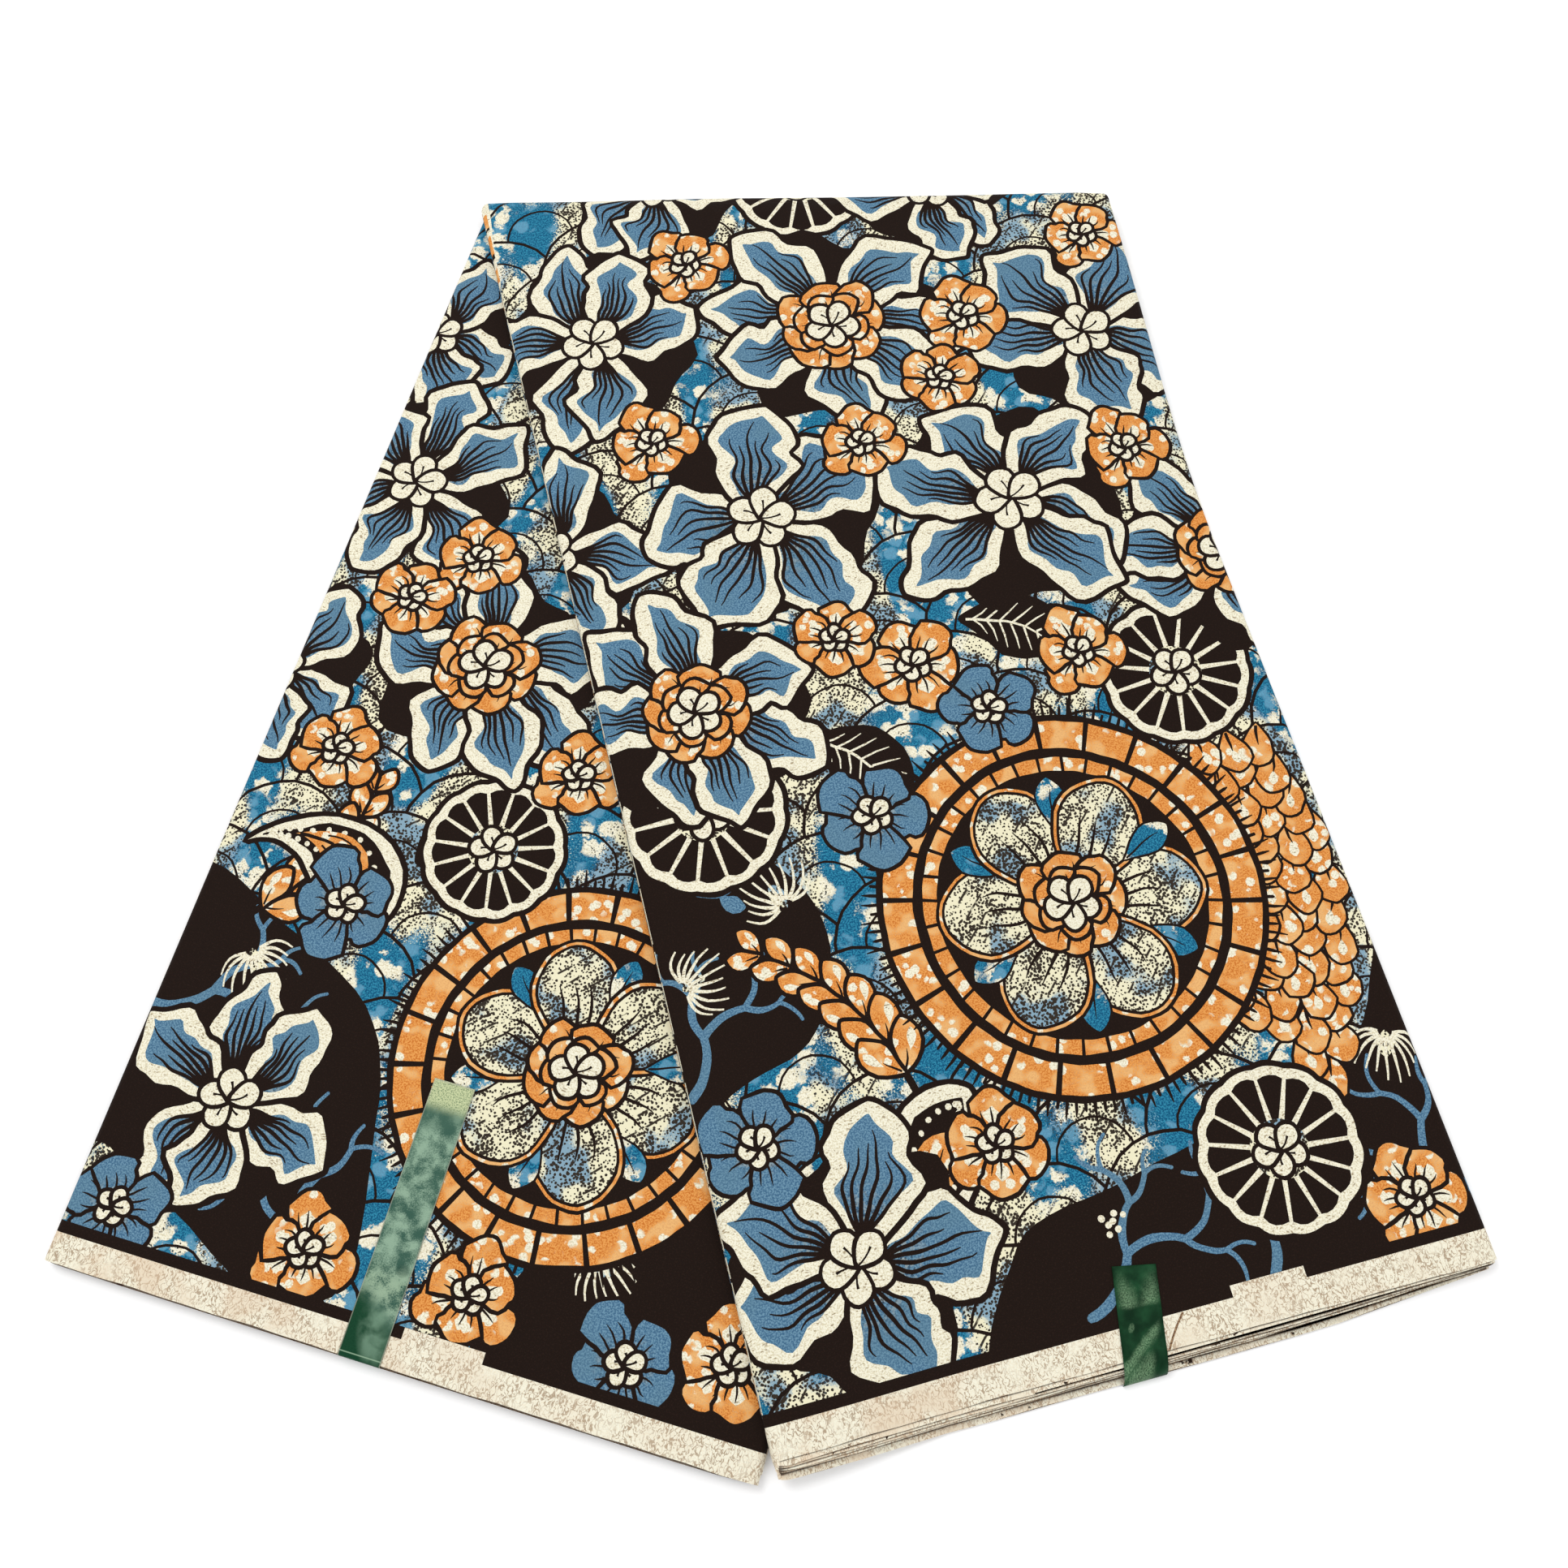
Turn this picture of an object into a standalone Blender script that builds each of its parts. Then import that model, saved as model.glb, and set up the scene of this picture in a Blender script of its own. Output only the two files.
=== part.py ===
"""A length of wax print cloth, folded to a strip, laid over itself and taped at both hems.

The cloth is folded in panels to a strip as long as the cloth is wide, with a selvedge at each end.
The strip is folded over at a slant, so that its two legs fan out. The rear leg lies on the floor and
the front leg lies on it, coming down to the floor past the rear leg's right side.
Metres, +X to the right, +Y towards the fold, +Z up, origin under the middle of the whole.
"""
from math import cos, pi, radians, sin, sqrt, tan

import bmesh
import bpy
from mathutils import Vector

# Driving dimensions
CLOTH_WIDTH = 1.183        # selvedge to selvedge, which is the strip's length
STRIP_WIDTH = 0.3105       # one panel of the folded length, with its rounded sides
FOLD_WIDTH = 0.3315        # the strip measured along the slanting fold, loose at its right end
FOLD_LEFT = Vector((-0.1451, 0.3019))   # left end of the fold, where the legs begin
FRONT_SWING = radians(13.6)             # how far each leg's middle turns from -Y
REAR_SWING = radians(16.85)
FRONT_LENGTH = 0.5817      # from the fold to the hem, along the leg's middle
HEM_SLANT = 0.0020         # how much further down the front hem's right end lies than square
LOOSE_REACH = 0.200        # how far down the right side the fold's looseness runs out
LOOSE_POWER = 1.35

STACK = 0.0065             # the folded layers of one leg, pressed by hand
WALL = 0.0010              # the outer cloth
GAP = 0.0003               # between pieces that touch
SIDE_ROUND = 0.0035        # how far the rounded sides reach in
LEAF = 0.0010              # one group of inner layers at an edge
SLOT = 0.0004              # between two groups
SLOT_SIDE = 0.0060         # how deep the slots run in from the sides
SLOT_HEM = 0.0110          # and from the hems

DROP_START = 0.008         # the front leg begins to come down this far past the rear leg's side
DROP_LENGTH = 0.070        # and reaches the floor after this much more

FRONT_WRAP = (radians(80), radians(150))   # how far the outer cloth goes round, left and right
REAR_WRAP = (radians(80), radians(80))
TURN_END = radians(-55)    # where the front outer cloth ends, under the turn
TURN_CLEAR = radians(-60)  # from here on the inner layers leave room for it

TAPE_WIDTH = 0.0183

# Each group of inner layers, outermost at the turn first: whether the outer cloth covers its side,
# how far it peeps out there, and how far it reaches past the outer cloth at the hem.
LEAF_COLUMNS = ("rear_left", "rear_right", "front_left", "front_right", "rear_hem", "front_hem")
COVERED = None
LEAF_ROWS = (
    dict(zip(LEAF_COLUMNS, (0.0012, 0.0000, COVERED, COVERED, -0.0035, 0.0028))),
    dict(zip(LEAF_COLUMNS, (0.0006, 0.0004, COVERED, COVERED, -0.0020, 0.0052))),
    dict(zip(LEAF_COLUMNS, (COVERED, COVERED, 0.0004, COVERED, -0.0008, 0.0015))),
    dict(zip(LEAF_COLUMNS, (COVERED, COVERED, 0.0014, COVERED, 0.0006, 0.0085))),
)
HEM_TAPER = 0.55           # the share of that reach lost at the front hem's right end
HEM_EVEN = 0.70            # the share of the front hem, from its left end, where none is lost

# Each tape: the leg it is on, where its middle crosses the hem as a share of the hem from the left,
# its length on top of the cloth, its direction from -Y, and how far it stands off the hem.
TAPE_COLUMNS = ("name", "leg", "share", "length", "swing", "round")
TAPE_ROWS = (
    dict(zip(TAPE_COLUMNS, ("front_tape", "front", 0.5025, 0.0354, radians(2.5), 0.0094))),
    dict(zip(TAPE_COLUMNS, ("rear_tape", "rear", 0.4550, 0.1146, -REAR_SWING, 0.0014))),
)

# How finely the surfaces are cut
LEG_CELLS = 16
ACROSS_CELLS = 12
TURN_ANGLES = tuple(radians(a) for a in (-90, -75, -60, -40, -20, 0, 20, 40, 60, 75, 90))
WRAP_STEP = radians(20)
TAPE_CELLS = {"across": 3, "along": 5, "round": 6}

TURN_RADIUS = STACK + GAP / 2
REAR_LENGTH = CLOTH_WIDTH - FRONT_LENGTH - pi * (STACK + GAP) / 2
FRONT_LEAD = (STRIP_WIDTH * tan(FRONT_SWING) - HEM_SLANT) / 2
REAR_LEAD = STRIP_WIDTH * tan(REAR_SWING) / 2
LEGS = {
    "front": {"swing": FRONT_SWING, "left": FRONT_LENGTH + FRONT_LEAD, "right": FRONT_LENGTH - FRONT_LEAD},
    "rear": {"swing": -REAR_SWING, "left": REAR_LENGTH - REAR_LEAD, "right": REAR_LENGTH + REAR_LEAD},
}


def smooth(x):
    """An even step from 0 to 1."""
    x = min(max(x, 0.0), 1.0)
    return x * x * (3 - 2 * x)


def heading(angle):
    """The direction on the floor at an angle from -Y."""
    return Vector((sin(angle), -cos(angle)))


def leg_ends(name, share):
    """The outline's left and right points at a share of the leg, 0 at the fold and 1 at the hem."""
    leg = LEGS[name]
    way = heading(leg["swing"])
    straight = STRIP_WIDTH / cos(leg["swing"])
    run = max(0.0, 1 - leg["right"] * share / LOOSE_REACH)
    loose = (FOLD_WIDTH - straight) * run ** LOOSE_POWER
    left = FOLD_LEFT + way * leg["left"] * share
    right = FOLD_LEFT + Vector((straight + loose, 0)) + way * leg["right"] * share
    return left, right


def support(spot):
    """The height of what the front leg lies on: the rear leg, or past its right side the floor."""
    top, bottom = leg_ends("rear", 0)[1], leg_ends("rear", 1)[1]
    way = (bottom - top).normalized()
    past = (spot - top).dot(Vector((-way.y, way.x)))
    return (STACK + GAP) * (1 - smooth((past - DROP_START) / DROP_LENGTH))


def section(q):
    """The strip's section at q: -1 at the rear hem, 0 to 1 round the turn, 2 at the front hem."""
    if q < 0:
        return (*leg_ends("rear", -q), -pi / 2)
    if q > 1:
        return (*leg_ends("front", q - 1), pi / 2)
    return (*leg_ends("front", 0), pi * (q - 0.5))


def strip_point(q, share, inset, height):
    """A point of the strip: a share of the way across, moved right by inset, height off its middle."""
    left, right, angle = section(q)
    spot = left.lerp(right, share) + (right - left).normalized() * inset
    if q < 0:
        return Vector((spot.x, spot.y, STACK / 2 - height))
    if q > 1:
        return Vector((spot.x, spot.y, support(spot) + STACK / 2 + height))
    radius = (STACK + GAP) / 2 + height
    return Vector((spot.x, spot.y + radius * cos(angle), TURN_RADIUS + radius * sin(angle)))


def turn_share(angle):
    """The share of the turn done at an angle."""
    return angle / pi + 0.5


def side_inset(height, peep):
    """How far in from the outline the stack's rounded side lies at a height."""
    shell = WALL + GAP if peep is COVERED else 0.0
    rise = min(abs(height) / (STACK / 2 - shell), 1.0)
    return SIDE_ROUND - (SIDE_ROUND - shell) * sqrt(1 - rise * rise) - (peep or 0.0)


def leaf_heights(q):
    """The faces of the groups of inner layers, from the outer side of the turn to the inner."""
    outer = STACK / 2 - (WALL + GAP) * covering(q)
    inner = -STACK / 2 + (WALL + GAP) * (1 - smooth(q))
    steps = [0.0]
    for _ in LEAF_ROWS:
        steps += [steps[-1] + LEAF, steps[-1] + LEAF + SLOT]
    whole = steps[-2]
    return [outer + (inner - outer) * step / whole for step in steps[:-1]]


def covering(q):
    """Whether the front outer cloth lies over the inner layers there: 0 on the rear leg, then 1."""
    return smooth(q / turn_share(TURN_CLEAR))


def leaf_inset(q, row, side, height):
    """How far in from the outline a group's side lies, on the left or right."""
    rear = side_inset(height, row["rear_" + side])
    front = side_inset(height, row["front_" + side])
    swap = covering(q) if row["rear_" + side] is not COVERED else smooth(q)
    return rear + (front - rear) * swap


def hem_reach(row, share, front):
    """How far a group reaches past the outer cloth at a hem."""
    if not front:
        return row["rear_hem"]
    return row["front_hem"] * (1 - HEM_TAPER * smooth((share - HEM_EVEN) / (1 - HEM_EVEN)))


def material(name, colour, roughness):
    """A plain cloth material."""
    made = bpy.data.materials.new(name)
    made.use_nodes = True
    shader = made.node_tree.nodes["Principled BSDF"]
    shader.inputs["Base Color"].default_value = (*colour, 1)
    shader.inputs["Roughness"].default_value = roughness
    shader.inputs["Metallic"].default_value = 0
    return made


def add_object(name, mesh_data, look, collection):
    """One named sub-part with its own material."""
    made = bpy.data.objects.new(name, mesh_data)
    mesh_data.materials.append(look)
    collection.objects.link(made)
    return made


def grid_mesh(name, rows):
    """An open surface through rows of points."""
    shape = bmesh.new()
    corners = [[shape.verts.new(point) for point in row] for row in rows]
    for near, far in zip(corners, corners[1:]):
        for a, b, c, d in zip(near, near[1:], far[1:], far):
            shape.faces.new((a, b, c))
            shape.faces.new((a, c, d))
    mesh_data = bpy.data.meshes.new(name)
    shape.to_mesh(mesh_data)
    shape.free()
    return mesh_data


def thicken(made, offset):
    """The open surface becomes a wall, on the side of it that the sign of offset picks."""
    wall = made.modifiers.new("Wall", "SOLIDIFY")
    wall.thickness = WALL
    wall.offset = offset
    wall.use_even_offset = True


def leg_path(length):
    """The sections of a leg, from the fold's end to the hem, with one where the hem's slots end."""
    steps = [step / LEG_CELLS for step in range(1, LEG_CELLS)]
    return steps + [1 - SLOT_HEM / length, 1]


def across_shares():
    """Shares across the strip, between its rounded sides."""
    return [step / ACROSS_CELLS for step in range(1, ACROSS_CELLS)]


def wrapped_row(q, wrap, outer):
    """One row of the outer cloth's face across the strip and round both sides."""
    row = []
    for side, reach in (("left", wrap[0]), ("right", wrap[1])):
        cells = round(reach / WRAP_STEP)
        turns = [reach * step / cells for step in range(cells + 1)]
        points = []
        for turn in turns:
            inset = SIDE_ROUND * (1 - sin(turn))
            height = outer * STACK / 2 * cos(turn)
            share = 0 if side == "left" else 1
            points.append(strip_point(q, share, inset if side == "left" else -inset, height))
        if side == "left":
            row += points[::-1]
            row += [strip_point(q, share, 0, outer * STACK / 2) for share in across_shares()]
        else:
            row += points
    return row


def front_outer(collection):
    """The cloth on top of the front leg, round the turn and round the leg's sides."""
    angles = [TURN_END] + [angle for angle in TURN_ANGLES if angle > TURN_END]
    path = [turn_share(angle) for angle in angles] + [1 + share for share in leg_path(FRONT_LENGTH)]
    rows = [wrapped_row(q, FRONT_WRAP, 1) for q in path]
    look = material("front_cloth", (0.09, 0.24, 0.36), 0.85)
    made = add_object("front_outer_layer", grid_mesh("front_outer_layer", rows), look, collection)
    thicken(made, 1)


def rear_outer(collection):
    """The cloth on top of the rear leg, which runs on under the front leg up to the fold."""
    start = WALL / LEGS["rear"]["left"]
    path = [-start] + [-share for share in leg_path(REAR_LENGTH)]
    rows = [wrapped_row(q, REAR_WRAP, -1) for q in path]
    look = material("rear_cloth", (0.55, 0.25, 0.08), 0.85)
    made = add_object("rear_outer_layer", grid_mesh("rear_outer_layer", rows), look, collection)
    thicken(made, 1)


def inner_path():
    """The sections of the inner layers, from hem to hem."""
    rear = [-share for share in leg_path(REAR_LENGTH)][::-1]
    front = [1 + share for share in leg_path(FRONT_LENGTH)]
    return rear + [turn_share(angle) for angle in TURN_ANGLES] + front


def inner_columns():
    """The columns across the inner layers: a share, and how far right of it in slot depths."""
    middle = [(share, 0) for share in across_shares()]
    return [(0, None), (0, SLOT_SIDE)] + middle + [(1, -SLOT_SIDE), (1, None)]


def inner_point(q, column, level):
    """A point of the inner layers on one face of one group."""
    share, inset = column
    row = LEAF_ROWS[level // 2]
    height = leaf_heights(q)[level]
    if inset is None:
        side = "left" if share == 0 else "right"
        inset = leaf_inset(q, row, side, height) * (1 if share == 0 else -1)
    point = strip_point(q, share, inset, height)
    if q in (-1, 2):
        way = heading(LEGS["front" if q > 0 else "rear"]["swing"])
        reach = way * hem_reach(row, share, q > 0)
        spot = Vector((point.x, point.y)) + reach
        lift = support(spot) if q > 0 else 0.0
        point = Vector((spot.x, spot.y, lift + STACK / 2 + height * (1 if q > 0 else -1)))
    return point


def inner_layers(collection):
    """The hidden layers of both legs in one solid, slotted into groups of layers along its edges."""
    path, columns = inner_path(), inner_columns()
    levels = 2 * len(LEAF_ROWS)
    last = (len(path) - 2, len(columns) - 2, levels - 2)

    def filled(cell):
        if any(i < 0 or i > most for i, most in zip(cell, last)):
            return False
        inside = 0 < cell[0] < last[0] and 0 < cell[1] < last[1]
        return cell[2] % 2 == 0 or inside

    shape = bmesh.new()
    corners = {}

    def corner(i, j, k):
        if (i, j, k) not in corners:
            corners[i, j, k] = shape.verts.new(inner_point(path[i], columns[j], k))
        return corners[i, j, k]

    for i in range(last[0] + 1):
        for j in range(last[1] + 1):
            for k in range(last[2] + 1):
                if filled((i, j, k)):
                    add_cell_faces(shape, corner, filled, (i, j, k))
    mesh_data = bpy.data.meshes.new("inner_layers")
    shape.to_mesh(mesh_data)
    shape.free()
    look = material("inner_cloth", (0.80, 0.74, 0.60), 0.9)
    add_object("inner_layers", mesh_data, look, collection)


def add_cell_faces(shape, corner, filled, cell):
    """The faces of one filled cell that have nothing filled beyond them."""
    i, j, k = cell
    sides = (
        ((-1, 0, 0), ((0, 0, 0), (0, 1, 0), (0, 1, 1), (0, 0, 1))),
        ((1, 0, 0), ((1, 0, 0), (1, 0, 1), (1, 1, 1), (1, 1, 0))),
        ((0, -1, 0), ((0, 0, 0), (0, 0, 1), (1, 0, 1), (1, 0, 0))),
        ((0, 1, 0), ((0, 1, 0), (1, 1, 0), (1, 1, 1), (0, 1, 1))),
        ((0, 0, -1), ((0, 0, 0), (1, 0, 0), (1, 1, 0), (0, 1, 0))),
        ((0, 0, 1), ((0, 0, 1), (0, 1, 1), (1, 1, 1), (1, 0, 1))),
    )
    for beyond, square in sides:
        if filled(tuple(a + b for a, b in zip(cell, beyond))):
            continue
        a, b, c, d = (corner(i + di, j + dj, k + dk) for di, dj, dk in square)
        shape.faces.new((a, b, c))
        shape.faces.new((a, c, d))


def tape(row, collection):
    """A tape stuck on a leg's outer cloth and turned down over its hem."""
    left, right = leg_ends(row["leg"], 1)
    middle = left.lerp(right, row["share"])
    hem = (right - left).normalized()
    off_hem = Vector((hem.y, -hem.x))
    way = heading(row["swing"])
    side = Vector((-way.y, way.x))
    across = TAPE_CELLS["across"]
    columns = [TAPE_WIDTH * (step / across - 0.5) for step in range(across + 1)]

    def tape_point(column, past_hem, height):
        run = (past_hem - column * side.dot(off_hem)) / way.dot(off_hem)
        spot = middle + side * column + way * run
        lift = support(spot) if row["leg"] == "front" else 0.0
        return Vector((spot.x, spot.y, lift + height))

    top = STACK + GAP
    ends = [column * side.dot(off_hem) - row["length"] * way.dot(off_hem) for column in columns]
    rows = []
    for step in range(TAPE_CELLS["along"] + 1):
        left_over = 1 - step / TAPE_CELLS["along"]
        rows.append([tape_point(column, end * left_over, top) for column, end in zip(columns, ends)])
    for step in range(1, TAPE_CELLS["round"] + 1):
        turn = pi / 2 * step / TAPE_CELLS["round"]
        past_hem = row["round"] * sin(turn)
        rows.append([tape_point(column, past_hem, GAP + STACK * cos(turn)) for column in columns])
    look = material(row["name"], (0.04, 0.14, 0.09), 0.45)
    made = add_object(row["name"], grid_mesh(row["name"], rows), look, collection)
    thicken(made, -1)


def main():
    """Clears the scene and models the cloth."""
    for old in list(bpy.data.objects):
        bpy.data.objects.remove(old)
    collection = bpy.data.collections.new("wax_print_fabric")
    bpy.context.scene.collection.children.link(collection)
    inner_layers(collection)
    rear_outer(collection)
    front_outer(collection)
    for row in TAPE_ROWS:
        tape(row, collection)


main()
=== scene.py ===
"""The looks of a length of wax print cloth, folded to a strip, laid over itself and taped at both hems.

The print is part of the cloth's own mesh. Each motif is a set of outlines, painted one over another in
the inks of a wax print on a leg laid flat, and the painted leg is then bent over the folded stack.
Points on a flat leg are complex numbers in millimetres: the real part runs across from the leg's left
edge and the imaginary part down the leg from the fold. Everything else is in metres.
"""

from functools import partial
from math import cos, pi, radians, sin, sqrt, tan

import bpy
import numpy as np
from mathutils import Matrix, Vector
from mathutils.bvhtree import BVHTree
from mathutils.geometry import delaunay_2d_cdt


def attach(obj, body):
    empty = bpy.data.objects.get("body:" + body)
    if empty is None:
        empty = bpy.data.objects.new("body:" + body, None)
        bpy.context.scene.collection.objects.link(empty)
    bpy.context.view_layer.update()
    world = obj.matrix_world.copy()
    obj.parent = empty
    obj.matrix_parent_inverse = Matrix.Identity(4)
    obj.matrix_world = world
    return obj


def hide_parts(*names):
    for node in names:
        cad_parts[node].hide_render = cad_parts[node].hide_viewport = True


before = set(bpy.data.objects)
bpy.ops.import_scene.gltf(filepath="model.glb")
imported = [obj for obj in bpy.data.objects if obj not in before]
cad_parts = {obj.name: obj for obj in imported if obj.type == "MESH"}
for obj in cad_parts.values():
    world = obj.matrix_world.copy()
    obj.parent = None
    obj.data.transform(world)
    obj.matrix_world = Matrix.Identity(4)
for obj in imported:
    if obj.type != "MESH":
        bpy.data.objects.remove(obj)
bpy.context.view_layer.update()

MM = 0.001

# The folded stack, as its solids have it
CLOTH_WIDTH = 1.183
STRIP_WIDTH = 0.3105
FOLD_WIDTH = 0.3315
FOLD_LEFT = complex(-0.1451, 0.3019)
FRONT_LENGTH = 0.5817
HEM_SLANT = 0.0020
LOOSE_REACH = 0.200
LOOSE_POWER = 1.35
STACK = 0.0065
GAP = 0.0003
SIDE_ROUND = 0.0035
DROP_START = 0.008
DROP_LENGTH = 0.070
TURN_END = radians(-55)
TAPE_WIDTH = 0.0183
REAR_LENGTH = CLOTH_WIDTH - FRONT_LENGTH - pi * (STACK + GAP) / 2
TURN_RADIUS = STACK + GAP / 2
OUTER_RADIUS = STACK / 2 + TURN_RADIUS / 2
SIDE_ARC = (SIDE_ROUND + STACK / 2) / 2     # arc length for each radian round a side

CLOTH = 0.0003             # one layer
BORDER = 4.8               # mm of black above a selvedge

# How far past a leg's left, right, hem and fold its print is painted, in mm
PAST_LEFT, PAST_RIGHT, PAST_HEM, PAST_FOLD = 8, 12, 8, 18
# The front leg hides what lies right of this line on the rear leg: mm at the fold, and mm per mm down it
HIDDEN_START, HIDDEN_SLOPE = 14, 0.60


class Leg:
    """One leg of the strip, seen from above, with the height of its hem's selvedge in mm."""

    def __init__(self, name, swing, length, slant, wraps, top, selvedge):
        lead = (STRIP_WIDTH * tan(swing) - slant) / 2
        self.name, self.swing, self.wraps, self.top, self.selvedge = name, swing, wraps, top, selvedge
        self.turn = complex(cos(swing), sin(swing))
        self.left = length + lead
        self.right = length - lead
        self.slant = slant / STRIP_WIDTH

    def hem(self, across):
        """How far down the leg the hem lies, in mm, at places across it."""
        return self.left / MM + self.slant * across

    def plan(self, spots):
        """From points on the flat leg to places on the floor plan."""
        return FOLD_LEFT + self.turn * np.conj(spots) * MM

    def flat(self, places):
        """From places on the floor plan to points on the flat leg."""
        return np.conj((places - FOLD_LEFT) / self.turn) / MM

    def edges(self, y):
        """The outline's left and right x at each y, and above the fold the fold's own ends."""
        down = np.maximum(FOLD_LEFT.imag - y, 0)
        straight = STRIP_WIDTH / cos(self.swing)
        run = np.clip(1 - down / cos(self.swing) / LOOSE_REACH, 0, 1)
        loose = (FOLD_WIDTH - straight) * run ** LOOSE_POWER
        left = FOLD_LEFT.real + down * tan(self.swing)
        return left, left + straight + loose

    def side_line(self, side, bottom, count, out):
        """A line down a side of the unrolled cloth, to a height on the plan, moved out of the outline."""
        top = FOLD_LEFT.imag + (OUTER_RADIUS * self.top if self.top else -MM)
        ys = np.append(np.linspace(top, FOLD_LEFT.imag, 6)[:-1], np.linspace(FOLD_LEFT.imag, bottom, count))
        return self.edges(ys)[side] + (out if side else -out) + 1j * ys

    def shows(self, outline):
        """Whether an outline is on the cloth, where the leg above it doesn't hide it."""
        across, down = outline.real, outline.imag
        if across.max() < -PAST_LEFT or across.min() > STRIP_WIDTH / MM + PAST_RIGHT:
            return False
        if down.min() > self.left / MM + PAST_HEM:
            return False
        if self.top:
            return (down > tan(self.swing) * across - PAST_FOLD).any()
        return (across < HIDDEN_SLOPE * down + HIDDEN_START).any()


FRONT = Leg("front", radians(13.6), FRONT_LENGTH, HEM_SLANT, (radians(80), radians(150)), pi / 2 - TURN_END,
            12.8)
REAR = Leg("rear", radians(-16.85), REAR_LENGTH, 0.0, (radians(80), radians(80)), 0.0, 12.0)

LIFT = 0.5                 # mm of air below the outer cloth, between its creases
HEM_HOLD = 0.35            # the share of that lift left at a hem
# Where the relief begins to grow and over how far, in mm: from a hem, a side, and the leg above
HEM_FADE, SIDE_FADE, BESIDE_FADE = (2, 25), (3, 16), (1, 14)
# Soft creases and swells, placed one by one: both ends in mm on the flat leg, how wide each is, and how
# high it stands, or how deep it lies where that is below 0. Each fades over a quarter at either end.
CREASES = {
    "front": (
        (14 + 306j, 298 + 318j, 8, -0.42),
        (40 + 158j, 306 + 146j, 15, 0.35),
        (268 + 84j, 290 + 350j, 11, 0.55),
        (240 + 96j, 254 + 272j, 12, -0.38),
        (24 + 474j, 186 + 455j, 14, 0.30),
        (150 + 548j, 304 + 566j, 11, -0.30),
        (96 + 30j, 120 + 200j, 13, 0.28),
    ),
    "rear": (
        (6 + 270j, 158 + 284j, 9, -0.40),
        (14 + 412j, 232 + 398j, 15, 0.35),
        (50 + 500j, 288 + 508j, 12, -0.30),
    ),
}
# Wider, shallow waves of the resting cloth: wavelength in mm, direction in degrees, height
SWELLS = ((173, 24, 0.20), (118, 101, 0.15), (71, 63, 0.07))


def smooth(x, start=0.0, length=1.0):
    """An even step from 0 to 1."""
    x = np.clip((x - start) / length, 0.0, 1.0)
    return x * x * (3 - 2 * x)


def support(places):
    """The height of what the front leg lies on: the rear leg, or past its right side the floor."""
    straight = STRIP_WIDTH / cos(REAR.swing)
    top = FOLD_LEFT + FOLD_WIDTH
    bottom = FOLD_LEFT + straight - 1j * REAR.turn * REAR.right
    way = (bottom - top) / abs(bottom - top)
    past = ((places - top) * np.conj(way * 1j)).real
    return (STACK + GAP) * (1 - smooth(past, DROP_START, DROP_LENGTH))


def relief(leg, spots):
    """How far the resting cloth rises above its even form at points of the flat leg."""
    height = np.full(len(spots), LIFT)
    for wavelength, direction, rise in SWELLS:
        along = (spots * np.exp(-1j * radians(direction))).real
        height += rise * np.sin(2 * pi * along / wavelength + wavelength)
    for start, end, width, rise in CREASES[leg.name]:
        run = end - start
        share = (spots - start) / run
        ends = smooth(share.real * 4) * smooth((1 - share.real) * 4)
        off = share.imag * abs(run) / width
        height += rise * ends * np.exp(-off ** 2)
    above_hem = leg.hem(spots.real) - spots.imag
    height = np.maximum(height, 0) * (HEM_HOLD + (1 - HEM_HOLD) * smooth(above_hem, *HEM_FADE))
    if leg is REAR:
        height *= smooth(-FRONT.flat(REAR.plan(spots)).real, *BESIDE_FADE)
    return height * MM


def bent(leg, places):
    """Where places of a leg's unrolled outer cloth lie once it is bent over the stack."""
    x, y = places.real, places.imag
    left, right = leg.edges(y)
    lead = np.maximum((SIDE_ROUND - (x - left)) / SIDE_ARC, 0)
    trail = np.maximum((SIDE_ROUND - (right - x)) / SIDE_ARC, 0)
    inset = SIDE_ROUND * (1 - np.sin(np.maximum(lead, trail)))
    x = np.where(lead > 0, left + inset, np.where(trail > 0, right - inset, x))
    inner = np.minimum(x - left, right - x) / MM
    height = STACK / 2 * np.cos(np.maximum(lead, trail))
    height = height + relief(leg, leg.flat(places)) * smooth(inner, *SIDE_FADE)
    past = np.maximum(y - FOLD_LEFT.imag, 0)
    angle = pi / 2 - past / OUTER_RADIUS
    radius = TURN_RADIUS / 2 + height
    rest = support(x + 1j * y) if leg is FRONT else 0.0
    z = np.where(past > 0, TURN_RADIUS + radius * np.sin(angle), rest + STACK / 2 + height)
    y = np.where(past > 0, FOLD_LEFT.imag + radius * np.cos(angle), y)
    return np.stack([x, y, z], axis=1)


def facing(leg, places):
    """The outward direction of the bent cloth at those places."""
    step = 0.05 * MM
    across = bent(leg, places + step) - bent(leg, places - step)
    along = bent(leg, places + 1j * step) - bent(leg, places - 1j * step)
    normal = np.cross(across, along)
    return normal / np.linalg.norm(normal, axis=1)[:, None]


# Outlines

LINE = 2.5                 # mm of black line round a large motif
FINE = 1.8                 # and round a small one
HAND_WAVE = 23             # an outline wavers as a hand draws it, in waves this long
HAND_SWAY = 0.35           # and by about this much, in mm


def waver(points):
    """The outline as a hand draws it, a little off by a smooth field of waves."""
    k = 2 * pi / HAND_WAVE
    x, y = points.real * k, points.imag * k
    across = np.sin(x + 0.7 * y) + np.sin(1.7 * x - 1.1 * y + 1.3)
    along = np.sin(0.8 * y - 0.6 * x + 2.1) + np.sin(1.6 * y + 1.3 * x)
    return points + HAND_SWAY / 2 * (across + 1j * along)


def towards(angle):
    """The unit step at an angle in radians: 0 is across the leg and a quarter turn on is down it."""
    return np.exp(1j * angle)


def ring(count, turn, shift=0.0):
    """The number and direction of each of several equal steps round a motif."""
    return [(i, towards(turn + 2 * pi * (i + shift) / count)) for i in range(count)]


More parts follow.
